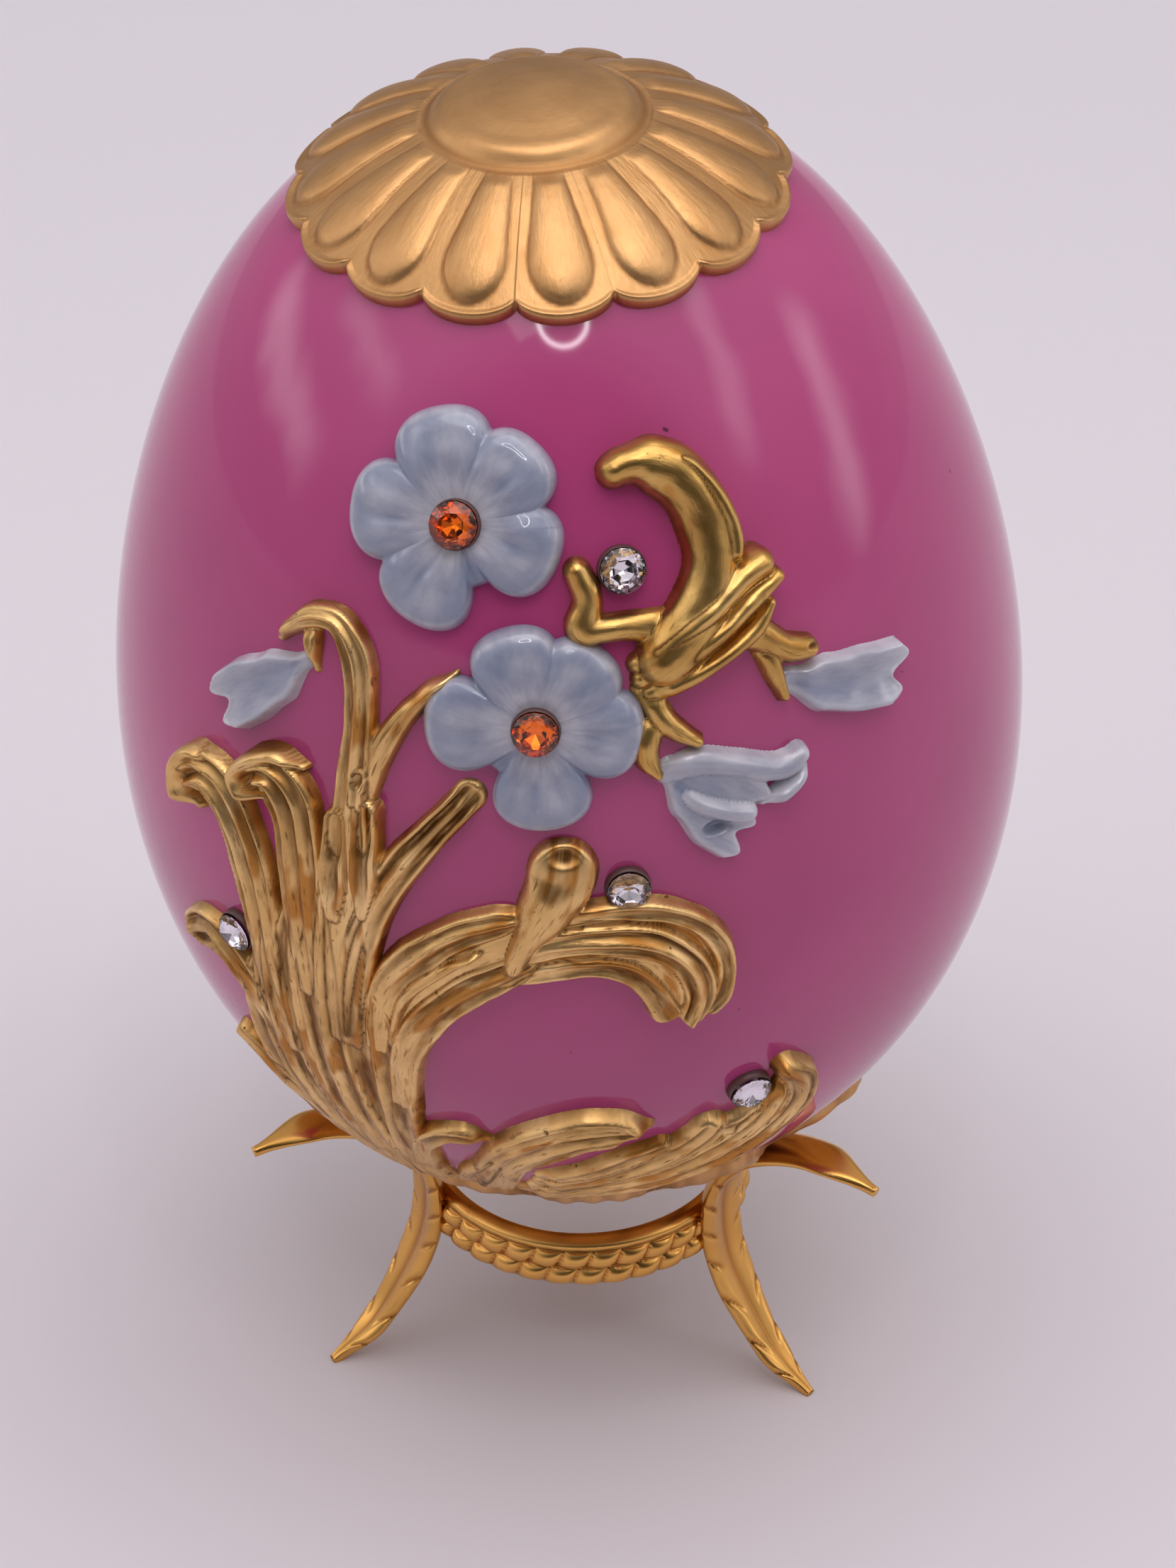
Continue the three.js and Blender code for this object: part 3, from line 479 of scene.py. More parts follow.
def gilding(name, tones, patina, roughness, wear):
    """Satin gold over porcelain, with dark patina in the carving and along brush marks."""
    material, tree, shader = new_material(name, Metallic=1.0)
    gold = ramp(tree, noise(tree, 190, 4.0, 0.6), list(zip((0.3, 0.52, 0.75), tones)))
    streaks = carving_noise(tree, 1.7, 4.0, 0.22)
    burnt = greys(tree, carving_noise(tree, 0.55, 2.0, 0.30), 0.52, 0.60, top=wear)
    gold = blend(tree, burnt, gold, (0.46, 0.19, 0.035))
    groove = greys(tree, attribute(tree, "groove"), 0.15, 0.85)
    groove = blend(tree, 1.0, groove, greys(tree, streaks, 0.30, 0.55, bottom=0.30), "MULTIPLY")
    brushed = greys(tree, carving_noise(tree, 4.5, 3.0, 0.12), 0.56, 0.72, top=wear)
    flecks = greys(tree, noise(tree, 1300, 2.0), 0.70, 0.76, top=wear)
    dark = blend(tree, 1.0, blend(tree, 1.0, groove, brushed, "LIGHTEN"), flecks, "LIGHTEN")
    tree.links.new(blend(tree, dark, gold, patina), shader.inputs["Base Color"])
    tree.links.new(greys(tree, dark, 0.0, 1.0, roughness, roughness + 0.18), shader.inputs["Roughness"])
    bump(tree, shader, blend(tree, 0.5, streaks, noise(tree, 600, 4.0, 0.6)), 0.00016, 0.5)
    return material


def blue_glaze():
    """Thick glaze: whitish where edge is high, which on the flowers' lips is painted highlight, and deep
    blue-grey where groove is high.
    """
    material, tree, shader = new_material(
        "blue_glaze", Roughness=0.32, Coat_Weight=1.0, Coat_Roughness=0.03)
    streaks = carving_noise(tree, 1.3, 3.0, 0.3)
    field = ramp(tree, streaks, [(0.35, (0.27, 0.285, 0.37)), (0.65, (0.38, 0.385, 0.46))])
    deep = greys(tree, attribute(tree, "groove"), 0.1, 1.0, top=0.85)
    field = blend(tree, deep, field, (0.135, 0.18, 0.29))
    pale = greys(tree, attribute(tree, "edge"), 0.0, 1.0, top=0.9)
    pale = blend(tree, 1.0, pale, greys(tree, streaks, 0.30, 0.60, bottom=0.45), "MULTIPLY")
    tree.links.new(blend(tree, pale, field, (0.62, 0.605, 0.65)), shader.inputs["Base Color"])
    bump(tree, shader, blend(tree, 0.5, streaks, noise(tree, 300, 2.0)), 0.00012, 0.5)
    return material


def gold_plate():
    material, tree, shader = new_material("gold_plate", Metallic=1.0)
    cloud = noise(tree, 120, 3.0)
    gold = ramp(tree, cloud, [(0.3, (0.68, 0.35, 0.085)), (0.7, (0.80, 0.44, 0.12))])
    # Painted shade and reflection: deep orange-brown where groove is high, between the ring's beads and
    # in the legs' channels and notches.
    dark = greys(tree, attribute(tree, "groove"), 0.15, 0.85, top=0.9)
    tree.links.new(blend(tree, dark, gold, (0.34, 0.11, 0.02)), shader.inputs["Base Color"])
    tree.links.new(greys(tree, cloud, 0.3, 0.7, 0.20, 0.32), shader.inputs["Roughness"])
    bump(tree, shader, noise(tree, 500, 3.0), 0.00004, 0.4)
    return material


PINK = pink_glaze()
GILT = gilding(
    "gilding", tones=[(0.55, 0.32, 0.11), (0.76, 0.48, 0.19), (0.93, 0.65, 0.31)],
    patina=(0.15, 0.065, 0.017), roughness=0.36, wear=0.9,
)
CAP_GILT = gilding(
    "satin_gilding", tones=[(0.52, 0.285, 0.112), (0.59, 0.33, 0.135), (0.67, 0.385, 0.16)],
    patina=(0.30, 0.135, 0.045), roughness=0.42, wear=0.15,
)
BRIGHT_GILT = gilding(
    "bright_gilding", tones=[(0.46, 0.25, 0.07), (0.62, 0.37, 0.11), (0.80, 0.53, 0.19)],
    patina=(0.13, 0.055, 0.014), roughness=0.30, wear=0.6,
)
BLUE = blue_glaze()
PLATE = gold_plate()
SETTING = plain_material("setting", (0.10, 0.045, 0.04), Roughness=0.4)
CUT_GLASS = dict(Transmission_Weight=1.0, Roughness=0.0, IOR=1.55)
FOIL = dict(Metallic=1.0, Roughness=0.08)
# The two kinds of stone: its glass, and the foil behind it.
CLEAR = (plain_material("clear_crystal", (0.98, 0.97, 1.0), **CUT_GLASS),
         plain_material("silver_foil", (0.88, 0.84, 0.88), **FOIL))
AMBER = (plain_material("amber_crystal", (1.0, 0.40, 0.08), **CUT_GLASS),
         plain_material("amber_foil", (0.95, 0.42, 0.10), **FOIL))


# ---- the egg's body


def build_egg_body():
    rows, columns = 160, 224
    lat = np.linspace(-89.5, 89.5, rows)[:, None]
    az = np.linspace(0, 360, columns, endpoint=False)[None, :]
    points = to_world(on_egg(az, lat).reshape(-1, 3))
    piece = mesh_object("egg_body", points, loft_faces(rows, columns), PINK)
    finish_piece(piece, "pink_glaze", "egg")


# ---- the strokes

# Millimetres of glaze for each degree of latitude where the ornament stands, and the least of
# them for a degree up and a degree round.
LATITUDE_STEP = 0.735
LEAST_STEP_UP = 0.7
LEAST_STEP_ROUND = 0.38
# Steps along a path for each of its spans.
STEPS_PER_SPAN = 26
# A rounded end's radius, as a share of the half width there.
ROUND_END = 0.9
# How far the flank of a fluted stroke climbs inward, and what its channels take of its height.
BEVEL = 0.55
CHANNEL_DEPTH = 0.38
# How steeply a stroke dives outside its outline, how far below the glaze a sheet's skirt falls,
# and where the sheet is cut off.
DIVE = 1.2
SKIRT = 0.4
CUT_OFF = -0.1


def catmull(path, t):
    """Points at shares t of a path, the same uniform spline as the part's source uses."""
    p = np.asarray(path, dtype=float)
    p = np.vstack([2 * p[0] - p[1], p, 2 * p[-1] - p[-2]])
    place = np.clip(t, 0, 1) * (len(path) - 1)
    i = np.minimum(place.astype(int), len(path) - 2)
    u = (place - i)[..., None]
    p0, p1, p2, p3 = p[i], p[i + 1], p[i + 2], p[i + 3]
    t0, t1 = 0.5 * (p2 - p0), 0.5 * (p3 - p1)
    return ((2 * u**3 - 3 * u**2 + 1) * p1 + (u**3 - 2 * u**2 + u) * t0
            + (3 * u**2 - 2 * u**3) * p2 + (u**3 - u**2) * t1)


def half_width(halves, t):
    """The half width in millimetres at shares t of a path, from the ones given along it."""
    halves = np.array(halves, dtype=float)
    place = np.clip(t, 0, 1) * (len(halves) - 1)
    i = np.minimum(place.astype(int), len(halves) - 2)
    return mix(halves[i], halves[i + 1], smooth(place - i))


def stroke_field(stroke, az, lat, seed):
    """Height above the glaze of one stroke at grid places, with its carving attributes.

    Inside the outline the surface climbs a soft bevel to a fluted top. Outside, it dives.
    """
    path = stroke["path"]
    spans = len(path) - 1
    t_line = np.linspace(0, 1, STEPS_PER_SPAN * spans + 1)
    line = catmull(path, t_line)
    scale_x = np.radians(radius_at(line[:, 1]))
    scale_y = meridian(line[:, 1])[2]
    step = np.gradient(line, axis=0) * np.stack([scale_x, scale_y], -1)
    pace = np.hypot(step[:, 0], step[:, 1])
    heading = step / pace[:, None]
    travelled = np.concatenate([[0], np.cumsum((pace[1:] + pace[:-1]) / 2)])
    length = travelled[-1]

    # A rounded end is a full circle whose far side touches the end of the path.
    first = stroke["halves"][0] * ROUND_END if stroke.get("blunt") else 0.0
    last = length - (stroke["halves"][-1] * ROUND_END if stroke.get("lobe") else 0.0)
    inside = (travelled >= first - 0.2) & (travelled <= last + 0.2)
    line, heading, t_line, travelled, scale_x, scale_y = (
        values[inside] for values in (line, heading, t_line, travelled, scale_x, scale_y))

    east = (az[:, None] - line[None, :, 0]) * scale_x
    north = (lat[:, None] - line[None, :, 1]) * scale_y
    nearest = np.argmin(east**2 + north**2, axis=1)
    pick = np.arange(len(az))
    east, north = east[pick, nearest], north[pick, nearest]
    ahead = east * heading[nearest, 0] + north * heading[nearest, 1]
    side = north * heading[nearest, 0] - east * heading[nearest, 1]
    here = travelled[nearest] + ahead
    beyond = np.maximum(np.maximum(first - here, here - last), 0.0)
    here = np.clip(here, first, last)
    t = np.interp(here, travelled, t_line)

    wobble = stroke.get("wobble", 0.04)
    half = half_width(stroke["halves"], t) * (1 + wobble * np.sin(t * 3.1 * spans + seed))
    a = np.clip(side / half, -1, 1)
    margin = half - np.hypot(side, beyond)
    petals = stroke.get("petals", 0)
    if petals:
        wave = np.sin if petals % 2 else np.cos
        cut = wave(np.pi * petals * a / 2) ** 2
        mouth = last * (1 - stroke["notch"] * cut) + stroke.get("skew", 0.0) * a
        margin = np.minimum(margin, mouth - here - beyond)

    drift = np.clip(a + 0.06 * np.sin(t * 5.0 + seed) * (1 - a**2), -1, 1)
    flutes = stroke.get("flutes", 0)
    bevel = np.minimum(half, BEVEL) if flutes else half
    climb = 1 - (1 - np.clip(margin / bevel, 0, 1)) ** 2
    if not flutes:
        climb = np.sqrt(climb)
    channel = np.sin(np.pi * ((drift + 1) / 2 * max(flutes, 1) % 1.0)) ** 1.5 if flutes else 0 * a
    # Channels and lines start faint at the root and grow towards the tip.
    towards_tip = smooth(t / 0.5)
    channel = channel * smooth(margin / 0.7) * smooth((half - 0.35) / 0.5) * mix(0.35, 1.0, towards_tip)
    lines = (0.5 + 0.5 * np.sin(side * 7.0 + seed * 1.7 + 0.9 * np.sin(here * 0.5 + seed))) ** 3
    lines = lines * smooth(margin / 0.6) * stroke.get("lines", 0.5 if flutes else 0.0)
    lines = lines * mix(0.4, 1.0, towards_tip)
    dimple = stroke.get("dimple", 0.0) * smooth((t - 0.58) / 0.2) * smooth((margin - 0.15) / 0.6)
    along = 0.75 + 0.25 * smooth(t * 2) + stroke.get("curl", 0.0) * smooth((t - 0.6) / 0.4)
    # A pointed end comes down to the glaze as it narrows.
    near_end = 1.0 if stroke.get("lobe") or petals else mix(0.35, 1.0, smooth((last - here) / 1.3))
    near_start = 1.0 if stroke.get("blunt") else mix(0.5, 1.0, smooth((here - first) / 1.3))
    along = along * near_end * near_start
    top = stroke["high"] * along * (
        1 - stroke.get("depth", CHANNEL_DEPTH) * channel - 0.05 * lines - dimple)
    height = top * climb + DIVE * np.minimum(margin, 0)
    groove = 0.75 * channel**2 + 0.40 * lines + 1.3 * dimple + 0.6 * (1 - np.clip(margin / 0.2, 0, 1))
    if petals:
        groove = channel * (1 - 0.85 * smooth(t * 1.1))
    groove = np.clip(groove, 0, 1)
    edge = np.clip((1 - np.clip(margin / 0.8, 0, 1)) + 0.6 * smooth((t - 0.7) / 0.3), 0, 1)
    return height, groove, edge, here + 31.0 * seed, side + 7.0 * seed


def build_relief(name, strokes, material, slot, cell, pits=()):
    """All strokes of a group as one carved sheet, closed below the glaze, on a grid of cell."""
    ends = np.vstack([np.array(stroke["path"], dtype=float) for stroke in strokes])
    widest = max(max(stroke["halves"]) for stroke in strokes) + 0.8
    low_lat = ends[:, 1].min() - widest / LEAST_STEP_UP
    high_lat = ends[:, 1].max() + widest / LEAST_STEP_UP
    mid_scale = math.radians(float(radius_at(np.median(ends[:, 1]))))
    low_az = ends[:, 0].min() - widest / LEAST_STEP_ROUND
    high_az = ends[:, 0].max() + widest / LEAST_STEP_ROUND
    lat_line = np.arange(low_lat, high_lat, cell / LATITUDE_STEP)
    az_line = np.arange(low_az, high_az, cell / mid_scale)
    az, lat = np.meshgrid(az_line, lat_line)
    az, lat = az.ravel(), lat.ravel()
    count = len(az)
    height = np.full(count, -1.0)
    second = np.full(count, -1.0)
    fields = np.zeros((4, count))
    for index, stroke in enumerate(strokes):
        path = catmull(stroke["path"], np.linspace(0, 1, 60))
        reach = max(stroke["halves"]) * 1.1 + 0.5
        near = np.abs(az - np.clip(az, path[:, 0].min(), path[:, 0].max())) * mid_scale < reach * 1.3
        near &= np.abs(lat - np.clip(lat, path[:, 1].min(), path[:, 1].max())) * LEAST_STEP_UP < reach
        where = np.flatnonzero(near)
        rise, *values = stroke_field(stroke, az[where], lat[where], index + 1)
        wins = rise > height[where]
        second[where] = np.where(wins, height[where], np.maximum(second[where], rise))
        won = where[wins]
        height[won] = rise[wins]
        fields[:, won] = np.array(values)[:, wins]
    crease = np.exp(-np.clip(height - second, 0, None) / 0.10) * (second > 0.1)
    fields[0] = np.clip(np.maximum(fields[0], crease), 0, 1)
    # Two masses that meet are filled a little where they join.
    height = height + 0.06 * crease
    east, north = np.radians(az) * radius_at(lat), lat * LATITUDE_STEP
    # A hand-modelled surface is never quite even.
    swell = np.sin(east * 1.9 + 1.3 * np.sin(north * 1.1)) * np.sin(north * 1.6 + east * 0.7)
    height = height + 0.035 * swell
    for pit_az, pit_lat, long, tall, depth in pits:
        across = (az - pit_az) * math.radians(float(radius_at(pit_lat))) / long
        dent = np.exp(-(across**2 + ((lat - pit_lat) * LATITUDE_STEP / tall) ** 2) ** 2)
        height = height - depth * dent
        fields[0] = np.maximum(fields[0], 0.9 * dent)

    rows, columns = len(lat_line), len(az_line)
    grid = height.reshape(rows, columns)
    tall = np.maximum.reduce([grid[:-1, :-1], grid[1:, :-1], grid[:-1, 1:], grid[1:, 1:]]) > CUT_OFF
    r, c = np.nonzero(tall)
    corner = r * columns + c
    quads = np.stack([corner, corner + 1, corner + columns + 1, corner + columns], -1)
    used, quads = np.unique(quads, return_inverse=True)
    quads = quads.reshape(-1, 4)
    total = len(used)
    top = on_egg(az[used], lat[used], np.maximum(height[used], -SKIRT))
    base = on_egg(az[used], lat[used], -ROOT_DEPTH)
    sides = np.concatenate([quads[:, [k, (k + 1) % 4]] for k in range(4)])
    edge_key = np.sort(sides, axis=1)
    _, first_seen, seen = np.unique(edge_key, axis=0, return_index=True, return_counts=True)
    rim = sides[first_seen[seen == 1]]
    walls = np.stack([rim[:, 1], rim[:, 0], rim[:, 0] + total, rim[:, 1] + total], -1)
    faces = np.concatenate([quads, quads[:, ::-1] + total, walls]).tolist()
    points = to_world(np.concatenate([top, base]))
    values = {key: np.tile(field[used], 2)
              for key, field in zip(("groove", "edge", "along", "over"), fields)}
    piece = mesh_object(name, points, faces, material, **values)
    finish_piece(piece, slot)


# ---- the cap and the calyx


def build_cap():
    per_tongue, stations = 48, 60
    columns = CAP_TONGUES * per_tongue
    k = np.arange(columns)
    over = (-1 + 2 * (k % per_tongue) / per_tongue)[None, :]
    az = (CAP_TURN + 360 * k / columns)[None, :]
    # The rim is a row of round lobes that meet in notches.
    arc = 1 - np.sqrt(1 - (CAP_LOBE * over) ** 2)
    edge = CAP_EDGE_LAT + CAP_SCALLOP * arc / (1 - math.sqrt(1 - CAP_LOBE**2))
    s = np.linspace(0, 1, stations)[:, None]
    # Each tongue is a long drop: straight flanks that widen outward, and a round end.
    flank = np.abs(over) / (0.58 + 0.28 * s)
    drop = np.hypot(flank, np.clip((s - 0.60) / 0.29, 0, None))
    dome = np.sqrt(np.clip(1 - drop**2, 0, 1)) * smooth(s / 0.14)
    lip = smooth((s - 0.93) / 0.03) * smooth((1.02 - np.abs(over)) / 0.12)
    rise = CAP_THICK + 0.12 + CAP_TONGUE_RISE * (0.40 + 0.60 * s) * dome + CAP_LIP * lip
    rise = rise * np.sqrt(np.clip((1 - s) / 0.04, 0, 1))
    petals = on_egg(az, mix(CAP_BOSS_LAT, edge, s), rise)
    channel = np.exp(-((drop - 1.04) / 0.09) ** 2) * 0.55
    place = np.linspace(0, 1, 36)[:, None]
    boss_rise = CAP_THICK + 0.75 - 0.25 * place**2
    boss_rise = boss_rise - 0.50 * smooth((place - 0.80) / 0.16)
    boss_rise = boss_rise + 0.08 * np.exp(-((place - 0.76) / 0.08) ** 2)
    boss = on_egg(az, mix(89.6, CAP_BOSS_LAT, place), boss_rise + 0 * az)
    rim = on_egg(az, edge, -ROOT_DEPTH + 0 * az)
    inside = on_egg(az, CAP_HIDDEN_LAT + 0 * az, -HIDDEN_DEPTH)
    rows = [*boss, *petals[1:], *rim, *inside]
    flat = np.zeros(columns)
    groove = [*(0.6 * np.exp(-((place - 0.95) / 0.05) ** 2) + 0 * az), *(channel + 0 * s)[1:], flat, flat]
    along = [*(place * 8 + 0 * az), *(8 + 12 * s[1:] + 0 * az), flat, flat]
    over_mm = np.tile(over * 3 + 5.0 * (k // per_tongue), (len(rows), 1))
    over_mm[:len(boss)] = 0.0
    points = to_world(np.array(rows).reshape(-1, 3))
    piece = mesh_object("cap", points, loft_faces(len(rows), columns), CAP_GILT,
                        groove=np.clip(np.array(groove), 0, 1), along=np.array(along), over=over_mm)
    finish_piece(piece, "gilding")


def build_calyx():
    columns = CALYX_LEAVES * 36
    az = np.linspace(0, 360, columns, endpoint=False)[None, :]
    tip = mix(CALYX_FRONT_LAT, CALYX_BACK_LAT, smooth((1 - np.cos(np.radians(az))) / 2))
    phase = np.abs(np.sin(np.radians(az) * CALYX_LEAVES / 2))
    edge = tip - CALYX_NOTCH * phase**2
    s = np.linspace(0, 1, 60)[:, None]
    veins = 0.5 + 0.5 * np.cos(np.radians(az) * CALYX_LEAVES * 5)
    groove = smooth((phase - 0.85) / 0.15) * smooth(s * 2) + 0.5 * (1 - veins) * smooth(s * 2)
    rise = CALYX_THICK * (1 - 0.35 * np.clip(groove, 0, 1)) * np.sqrt(np.clip((1 - s) / 0.04, 0, 1))
    skin = on_egg(az, mix(-88.0, edge, s), rise)
    rim = on_egg(az, edge, -ROOT_DEPTH + 0 * az)
    inside = on_egg(az, CALYX_HIDDEN_LAT + 0 * az, -HIDDEN_DEPTH)
    rows = [*skin, *rim, *inside]
    grooves = [*np.clip(groove, 0, 1), np.ones(columns), np.ones(columns)]
    along = np.tile(np.linspace(0, 40, len(rows))[:, None], (1, columns))
    over = np.tile(az * 0.4, (len(rows), 1))
    points = to_world(np.array(rows).reshape(-1, 3))
    piece = mesh_object("calyx", points, loft_faces(len(rows), columns), CAP_GILT,
                        groove=np.array(grooves), along=along, over=over)
    finish_piece(piece, "gilding")


# ---- the flowers


def build_flower(name, flower):
    columns = 300
    angle = np.arange(columns)[None, :] * 360.0 / columns
    turns, reaches = [], []
    for toward, length in flower["petals"]:
        turn = np.abs((angle - toward + 540) % 360 - 180) / PETAL_HALF_ANGLE
        turns.append(turn)
        reaches.append(length * np.clip(1 - turn**3.0, 0, None) ** 0.4)
    reach = np.maximum(4.0, np.max(reaches, axis=0))
    nearest = np.min(turns, axis=0)
    own = np.argmin(turns, axis=0)
    toward = np.array([petal[0] for petal in flower["petals"]])[own]
    turn = ((angle - toward + 180) % 360 - 180) / PETAL_HALF_ANGLE
    s = np.linspace(0.06, 1, 56)[:, None]
    # Puffed petals with soft valleys between them, a crease down each and a hollow near its end.
    puff = 1 - np.clip(nearest, 0, 1) ** 2.2
    dish = mix(FLOWER_HEART, FLOWER_RISE, smooth((s - 0.12) / 0.55))
    valley = (1 - puff) * smooth((s - 0.15) / 0.5)
    lean = 0.16 * np.sin(3.0 * own + 1.0)
    crease = np.exp(-((turn - lean) / 0.16) ** 2) * smooth((s - 0.30) / 0.2) * smooth((0.88 - s) / 0.25)
    hollow = np.exp(-((turn + 2 * lean) / 0.45) ** 2 - ((s - 0.68) / 0.13) ** 2)
    ripple = 0.05 * np.sin(turn * 9 + own * 2 + 2.0 * s) * smooth((s - 0.35) / 0.3)
    lift = dish * (1 - 0.40 * valley) - 0.16 * crease - 0.16 * hollow + ripple
    shoulder = np.sqrt(np.clip(1 - ((s - 0.50) / 0.50).clip(0, 1) ** 2.4, 0, 1))
    lift = lift * shoulder - 0.2 * smooth((s - 0.92) / 0.08)
    east = s * reach * np.cos(np.radians(angle))
    north = s * reach * np.sin(np.radians(angle))
    az, lat = step_on_egg(flower["at"][0], flower["at"][1], east, north)
    top = on_egg(az, lat, lift)
    low = on_egg(az[-1:], lat[-1:], -ROOT_DEPTH)
    # Paler toward the heart, the glaze's own colour; the thin pale band along each petal's lip is painted
    # highlight.
    pale = 0.95 * smooth((0.55 - s) / 0.45) + 0.5 * smooth((s - 0.86) / 0.06) * smooth((1.0 - s) / 0.06)
    pale = np.clip(pale + 0.35 * hollow - 0.25 * valley, 0, 1)
    deep = 0.55 * smooth((s - 0.35) / 0.45) + 0.45 * valley + 0.5 * crease
    over = angle * 0.06 + 3.0 * own + 0 * s
    shade = {"edge": pale, "groove": np.clip(deep, 0, 1), "along": s * reach * 1.2, "over": over}
    shade = {key: np.array([*value, value[-1]]).ravel() for key, value in shade.items()}
    points = to_world(np.array([*top, *low]).reshape(-1, 3))
    piece = mesh_object(name, points, loft_faces(len(s) + 1, columns), BLUE, **shade)
    finish_piece(piece, "blue_glaze")


# ---- the stones

# A brilliant's levels from its table down: share of its radius, height above its point, sides and turn.
BRILLIANT = [(0.56, 1.22, 8, 22.5), (0.80, 1.00, 8, 0.0), (1.0, 0.74, 16, 0.0), (1.0, 0.66, 16, 0.0),
             (0.50, 0.28, 8, 22.5)]
# The dark rim round a stone: share of the radius, what is added to that, and height.
DARK_RIM = [(0.6, 0, -0.5), (1, 0.14, -0.4), (1, 0.10, 0.20), (1, 0.04, 0.48), (1, 0.01, 0.48),
        (1, 0.01, 0.35), (0.7, 0, 0.2)]
DARK_RIM_SIDES = 48


def circle(stone, radius, lift, sides, turn=0.0):
    """Points of a circle about a stone's axis, in the egg's own frame."""
    az, lat = stone["at"]
    centre = on_egg(az, lat, lift)
    out = on_egg(az, lat, lift + 1) - centre
    east = np.array([math.cos(math.radians(az)), math.sin(math.radians(az)), 0.0])
    north = np.cross(out, east)
    angle = np.radians(360.0 * np.arange(sides) / sides + turn)[:, None]
    return centre + radius * (np.cos(angle) * east + np.sin(angle) * north)


def stone_foot(stone):
    """Height of a stone's point above the glaze: just clear of what carries it."""
    return FLOWER_HEART + 0.06 if stone["amber"] else 0.08


def build_stone(name, stone, glass, backing):
    """A brilliant cut: table, stars, kites and girdle above, and a foiled pavilion below."""
    radius, low = stone["across"] / 2, stone_foot(stone)
    levels = [circle(stone, radius * share, low + lift, sides, turn)
              for share, lift, sides, turn in BRILLIANT]
    points = np.vstack([*levels, on_egg(*stone["at"], low)])
    kites, girdle, rim, lower, culet = 8, 16, 32, 48, 56
    faces = [tuple(range(8))]
    back = []
    for k in range(8):
        n = (k + 1) % 8
        left, middle, right = 2 * k, 2 * k + 1, (2 * k + 2) % 16
        faces.append((k, kites + n, n))
        faces.append((kites + k, girdle + left, girdle + middle))
        faces.append((kites + k, girdle + middle, k))
        faces.append((k, girdle + middle, kites + n))
        faces.append((kites + n, girdle + middle, girdle + right))
        faces.append((girdle + left, rim + left, rim + middle, girdle + middle))
        faces.append((girdle + middle, rim + middle, rim + right, girdle + right))
        back.append((rim + left, lower + k, rim + middle))
        back.append((rim + middle, lower + k, rim + right))
        back.append((lower + k, lower + n, rim + right))
        back.append((lower + k, culet, lower + n))
    piece = mesh_object(name, to_world(points), faces + back, glass, smooth_shading=False)
    piece.data.materials.append(backing)
    for index in range(len(faces), len(faces) + len(back)):
        piece.data.polygons[index].material_index = 1
    finish_piece(piece, "amber_stone" if stone["amber"] else "clear_stone", name.replace("cut_", ""))


def build_setting(name, stone):
    """A thin dark rim round a stone."""
    radius, low = stone["across"] / 2, stone_foot(stone)
    rows = [circle(stone, radius * share + more, low + lift, DARK_RIM_SIDES) for share, more, lift in DARK_RIM]
    faces = loft_faces(len(rows), DARK_RIM_SIDES, ring=True)
    piece = mesh_object(name, to_world(np.vstack(rows)), faces, SETTING)
    finish_piece(piece, "gilding")


# ---- the stand


def stand_point(out, side, up, azimuth):
    x = out * np.cos(azimuth) - side * np.sin(azimuth)
    y = out * np.sin(azimuth) + side * np.cos(azimuth)
    axis = np.array([STAND_AXIS[0], STAND_AXIS[1], FLOOR])
    return np.stack(np.broadcast_arrays(x, y, up), -1) * MM + axis


def half_circle(share):
    """Height of a half circle at a share of its way across, from nothing to one and back."""
    return np.sqrt(np.clip(1 - (2 * share - 1) ** 2, 0, 1))


def build_ring():
    columns = BEADS * 16
    azimuth = (math.radians(STAND_TURN) + np.linspace(0, 2 * np.pi, columns, endpoint=False))[:, None]
    height = RING_TOP - RING_BAND - RING_BOTTOM
    v = np.linspace(0, 1, 40)[None, :]
    row = np.where(v < 0.5, 0, 1)
    across_bead = (v * 2) % 1.0
    phase = (azimuth - math.radians(STAND_TURN)) * BEADS / (2 * np.pi) + 0.5 * row + 0.25 * across_bead
    along_bead = phase % 1.0
    swell = half_circle(along_bead) * half_circle(across_bead)
    out_beads = RING_SHOULDER - 0.15 + (BEAD_RISE + 0.15) * swell
    up_beads = RING_TOP - RING_BAND - height * v + 0 * azimuth
    inner = [(RING_SHOULDER - 0.35, RING_BOTTOM), (RING_INNER + 0.1, RING_BOTTOM),
             (RING_INNER, RING_BOTTOM + 0.2), (RING_INNER, RING_TOP - 0.2),
             (RING_INNER + 0.06, RING_TOP - 0.06), (RING_INNER + 0.2, RING_TOP),
             (RING_INNER + 0.6, RING_TOP - 0.12), (RING_INNER + 1.0, RING_TOP - 0.4),
             (RING_SHOULDER - 0.05, RING_TOP - RING_BAND + 0.06)]
    out = np.concatenate([out_beads] + [np.full_like(azimuth, o) for o, _ in inner], axis=1)
    up = np.concatenate([up_beads] + [np.full_like(azimuth, h) for _, h in inner], axis=1)
    points = stand_point(out, 0.0, up, azimuth)
    # Painted shade: this groove mask darkens the gaps between the beads.
    groove = np.concatenate([(1 - swell) ** 2, np.zeros((columns, len(inner)))], axis=1)
    faces = loft_faces(columns, out.shape[1], ring=True)
    piece = mesh_object("ring", points.reshape(-1, 3), faces, PLATE, groove=groove)
    finish_piece(piece, "gold_plate", "stand_ring")


